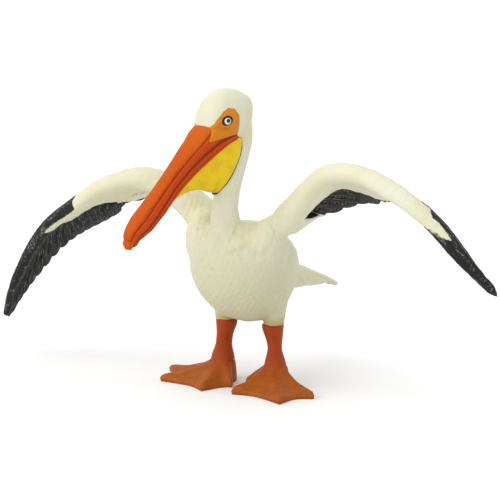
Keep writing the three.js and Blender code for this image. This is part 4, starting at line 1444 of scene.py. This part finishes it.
class PELICAN_OT_skin(bpy.types.Operator):
    """Trunk, neck, head, wings and tail as one skin with moulded relief"""

    bl_idname = "pelican.skin"
    bl_label = "Skin"

    def solids(self):
        """Every closed solid that the skin goes round."""
        parts = [trunk_solid(), neck_solid(), skull_solid(), tail_solid(), *nape_tufts()]
        for side in SIDES:
            parts += [shoulder_solid(side), thigh_solid(side), wing_solid(side)]
        return parts

    def execute(self, context):
        sizes, colours = settings(context)
        points, quads = remeshed(self.solids(), sizes.voxel)
        pairs = neighbour_pairs(quads)
        blade = either_wing({side: wing_facts(side, points) for side in SIDES}, "mask")
        points = blended(points, pairs, blade)
        normals = normals_of(points, quads)
        wings = {side: wing_facts(side, points) for side in SIDES}
        relief = sizes.relief * skin_relief(points, wings)
        shaped = points + normals * (relief + sink_by_bill(points))[:, None]
        for wing in wings.values():
            wing["ridge"] = long_ridges(points, wing) ** 3 * wing["mask"]
        attributes = {
            "ink": either_wing(wings, "ink"),
            "face": face_depth(points),
            "line": line_depth(points),
            "hollow": hollows(points, normals, relief, pairs, blade),
            "ridge": either_wing(wings, "ridge"),
        }
        nodes = ["trunk", "neck", "head", "tail", "wing_left_arm", "wing_right_arm"]
        piece("skin", shaped, [quads], skin_finish(colours), nodes, attributes)
        return {"FINISHED"}


class PELICAN_OT_flight_feathers(bpy.types.Operator):
    """The black flight feathers of both wings"""

    bl_idname = "pelican.flight_feathers"
    bl_label = "Flight Feathers"

    def execute(self, context):
        sizes, colours = settings(context)
        finish = feather_finish(colours)
        for side in SIDES:
            rings, values = flight_feathers(side, sizes)
            nodes = [f"wing_{side}_hand"]
            feather_piece(f"flight_feathers_{side}", rings, values, finish, nodes)
        return {"FINISHED"}


class PELICAN_OT_tail_feathers(bpy.types.Operator):
    """The ivory feathers of the tail"""

    bl_idname = "pelican.tail_feathers"
    bl_label = "Tail Feathers"

    def execute(self, context):
        sizes, colours = settings(context)
        rings, values = tail_feathers(sizes)
        feather_piece("tail_feathers", rings, values, tail_finish(colours), [])
        return {"FINISHED"}


class PELICAN_OT_bill(bpy.types.Operator):
    """Upper and lower bill"""

    bl_idname = "pelican.bill"
    bl_label = "Bill"

    def execute(self, context):
        _, colours = settings(context)
        finish = bill_finish(colours)
        for name, upper in (("upper", True), ("lower", False)):
            rings, share, along = bill_half(upper)
            points, groups = closed_tube(rings)
            crease = bill_creases(upper, share, along)
            # The lower half is painted as side all over, so its share of the depth is left at 0.
            values = {"share": share if upper else 0 * share, "along": along, "crease": crease}
            values = {key: per_point(value[None]) for key, value in values.items()}
            values["face"] = face_depth(points) if upper else np.full(len(points), -5.0)
            piece(f"bill_{name}_shape", points, groups, finish, [f"bill_{name}"], values)
        return {"FINISHED"}


class PELICAN_OT_pouch(bpy.types.Operator):
    """The yellow throat pouch"""

    bl_idname = "pelican.pouch"
    bl_label = "Pouch"

    def execute(self, context):
        _, colours = settings(context)
        rings, hem = pouch_rings()
        points, groups = closed_tube(rings)
        values = {"rear": rear_line(points), "hem": per_point(hem[None])}
        piece("pouch_bag", points, groups, pouch_finish(colours), ["pouch"], values)
        return {"FINISHED"}


class PELICAN_OT_eyes(bpy.types.Operator):
    """Both painted eyes"""

    bl_idname = "pelican.eyes"
    bl_label = "Eyes"

    def execute(self, context):
        _, colours = settings(context)
        finish = eye_finish(colours)
        for side, sign in SIDES.items():
            rings, reach, pupil = eye_dome(sign)
            points, groups = closed_tube(rings)
            values = {"reach": per_point(reach[None]), "pupil": per_point(pupil[None])}
            piece(f"eyeball_{side}", points, groups, finish, [f"eye_{side}"], values)
        return {"FINISHED"}


class PELICAN_OT_legs(bpy.types.Operator):
    """Both legs with their webbed feet"""

    bl_idname = "pelican.legs"
    bl_label = "Legs and Feet"

    def execute(self, context):
        _, colours = settings(context)
        finish = leg_finish(colours)
        for side in SIDES:
            points, groups = closed_tube(leg_rings(side))
            nodes = [f"leg_{side}", f"foot_{side}"]
            piece(f"leg_and_foot_{side}", points, groups, finish, nodes)
        return {"FINISHED"}


class PELICAN_OT_stage(bpy.types.Operator):
    """Floor, soft studio light and camera"""

    bl_idname = "pelican.stage"
    bl_label = "Stage"

    def execute(self, context):
        sizes, colours = settings(context)
        self.floor(colours)
        self.lights()
        self.camera(sizes)
        return {"FINISHED"}

    def floor(self, colours):
        """A flat sheet of floor round the figure."""
        place = np.linspace(-6.0, 6.0, 9)
        x, y = np.meshgrid(place, place, indexing="ij")
        points = np.stack([x, y, 0 * x], -1).reshape(-1, 3)
        i, j = np.meshgrid(np.arange(8), np.arange(8), indexing="ij")
        a = (i * 9 + j).ravel()
        mesh = mesh_from("floor", points, [np.stack([a, a + 9, a + 10, a + 1], -1)])
        mesh.materials.append(floor_finish(colours))
        sheet = bpy.data.objects.new("floor", mesh)
        bpy.context.scene.collection.objects.link(sheet)

    def lights(self):
        """White surroundings, a soft sun from the camera's left and a fainter one overhead."""
        world = bpy.data.worlds.new("studio")
        bpy.context.scene.world = world
        world.use_nodes = True
        background = world.node_tree.nodes["Background"]
        background.inputs["Color"].default_value = (1.0, 1.0, 1.0, 1.0)
        background.inputs["Strength"].default_value = WORLD_LIGHT
        for name, place, angle, strength in LAMPS:
            lamp = bpy.data.lights.new(name, "SUN")
            lamp.angle = angle
            lamp.energy = strength
            holder = bpy.data.objects.new(name, lamp)
            holder.location = place
            holder.rotation_euler = holder.location.to_track_quat("Z", "Y").to_euler()
            bpy.context.scene.collection.objects.link(holder)
        bpy.context.scene.view_settings.view_transform = "Standard"

    def camera(self, sizes):
        """The camera on a sphere round the figure's middle, looking at it."""
        data = bpy.data.cameras.new("view")
        data.lens = sizes.lens
        data.sensor_width = SENSOR
        holder = bpy.data.objects.new("view", data)
        flat = np.cos(sizes.elevation)
        sideways, ahead = np.sin(sizes.azimuth) * flat, -np.cos(sizes.azimuth) * flat
        back = np.array([sideways, ahead, np.sin(sizes.elevation)])
        holder.location = LOOK_AT * MM + SHIFT + back * sizes.distance
        holder.rotation_euler = (np.pi / 2 - sizes.elevation, 0.0, sizes.azimuth)
        bpy.context.scene.collection.objects.link(holder)
        bpy.context.scene.camera = holder


OPERATORS = [
    PELICAN_OT_skin,
    PELICAN_OT_flight_feathers,
    PELICAN_OT_tail_feathers,
    PELICAN_OT_bill,
    PELICAN_OT_pouch,
    PELICAN_OT_eyes,
    PELICAN_OT_legs,
    PELICAN_OT_stage,
]


class PELICAN_PT_panel(bpy.types.Panel):
    """The figure's settings and the buttons that make its pieces"""

    bl_idname = "PELICAN_PT_panel"
    bl_label = "Pelican Figure"
    bl_space_type = "VIEW_3D"
    bl_region_type = "UI"
    bl_category = "Pelican"

    def draw(self, context):
        for group in (context.scene.pelican_sizes, context.scene.pelican_colours):
            box = self.layout.box()
            for key in group.__annotations__:
                box.prop(group, key)
        for operator in OPERATORS:
            self.layout.operator(operator.bl_idname)


CLASSES = [PelicanSizes, PelicanColours, *OPERATORS, PELICAN_PT_panel]


def register():
    """Registers the classes and hangs the settings on the scene."""
    for cls in CLASSES:
        bpy.utils.register_class(cls)
    bpy.types.Scene.pelican_sizes = bpy.props.PointerProperty(type=PelicanSizes)
    bpy.types.Scene.pelican_colours = bpy.props.PointerProperty(type=PelicanColours)


def unregister():
    """Takes the settings and classes away again."""
    del bpy.types.Scene.pelican_colours
    del bpy.types.Scene.pelican_sizes
    for cls in reversed(CLASSES):
        bpy.utils.unregister_class(cls)


def main():
    register()
    for operator in OPERATORS:
        group, name = operator.bl_idname.split(".")
        getattr(getattr(bpy.ops, group), name)()


if __name__ == "__main__":
    main()
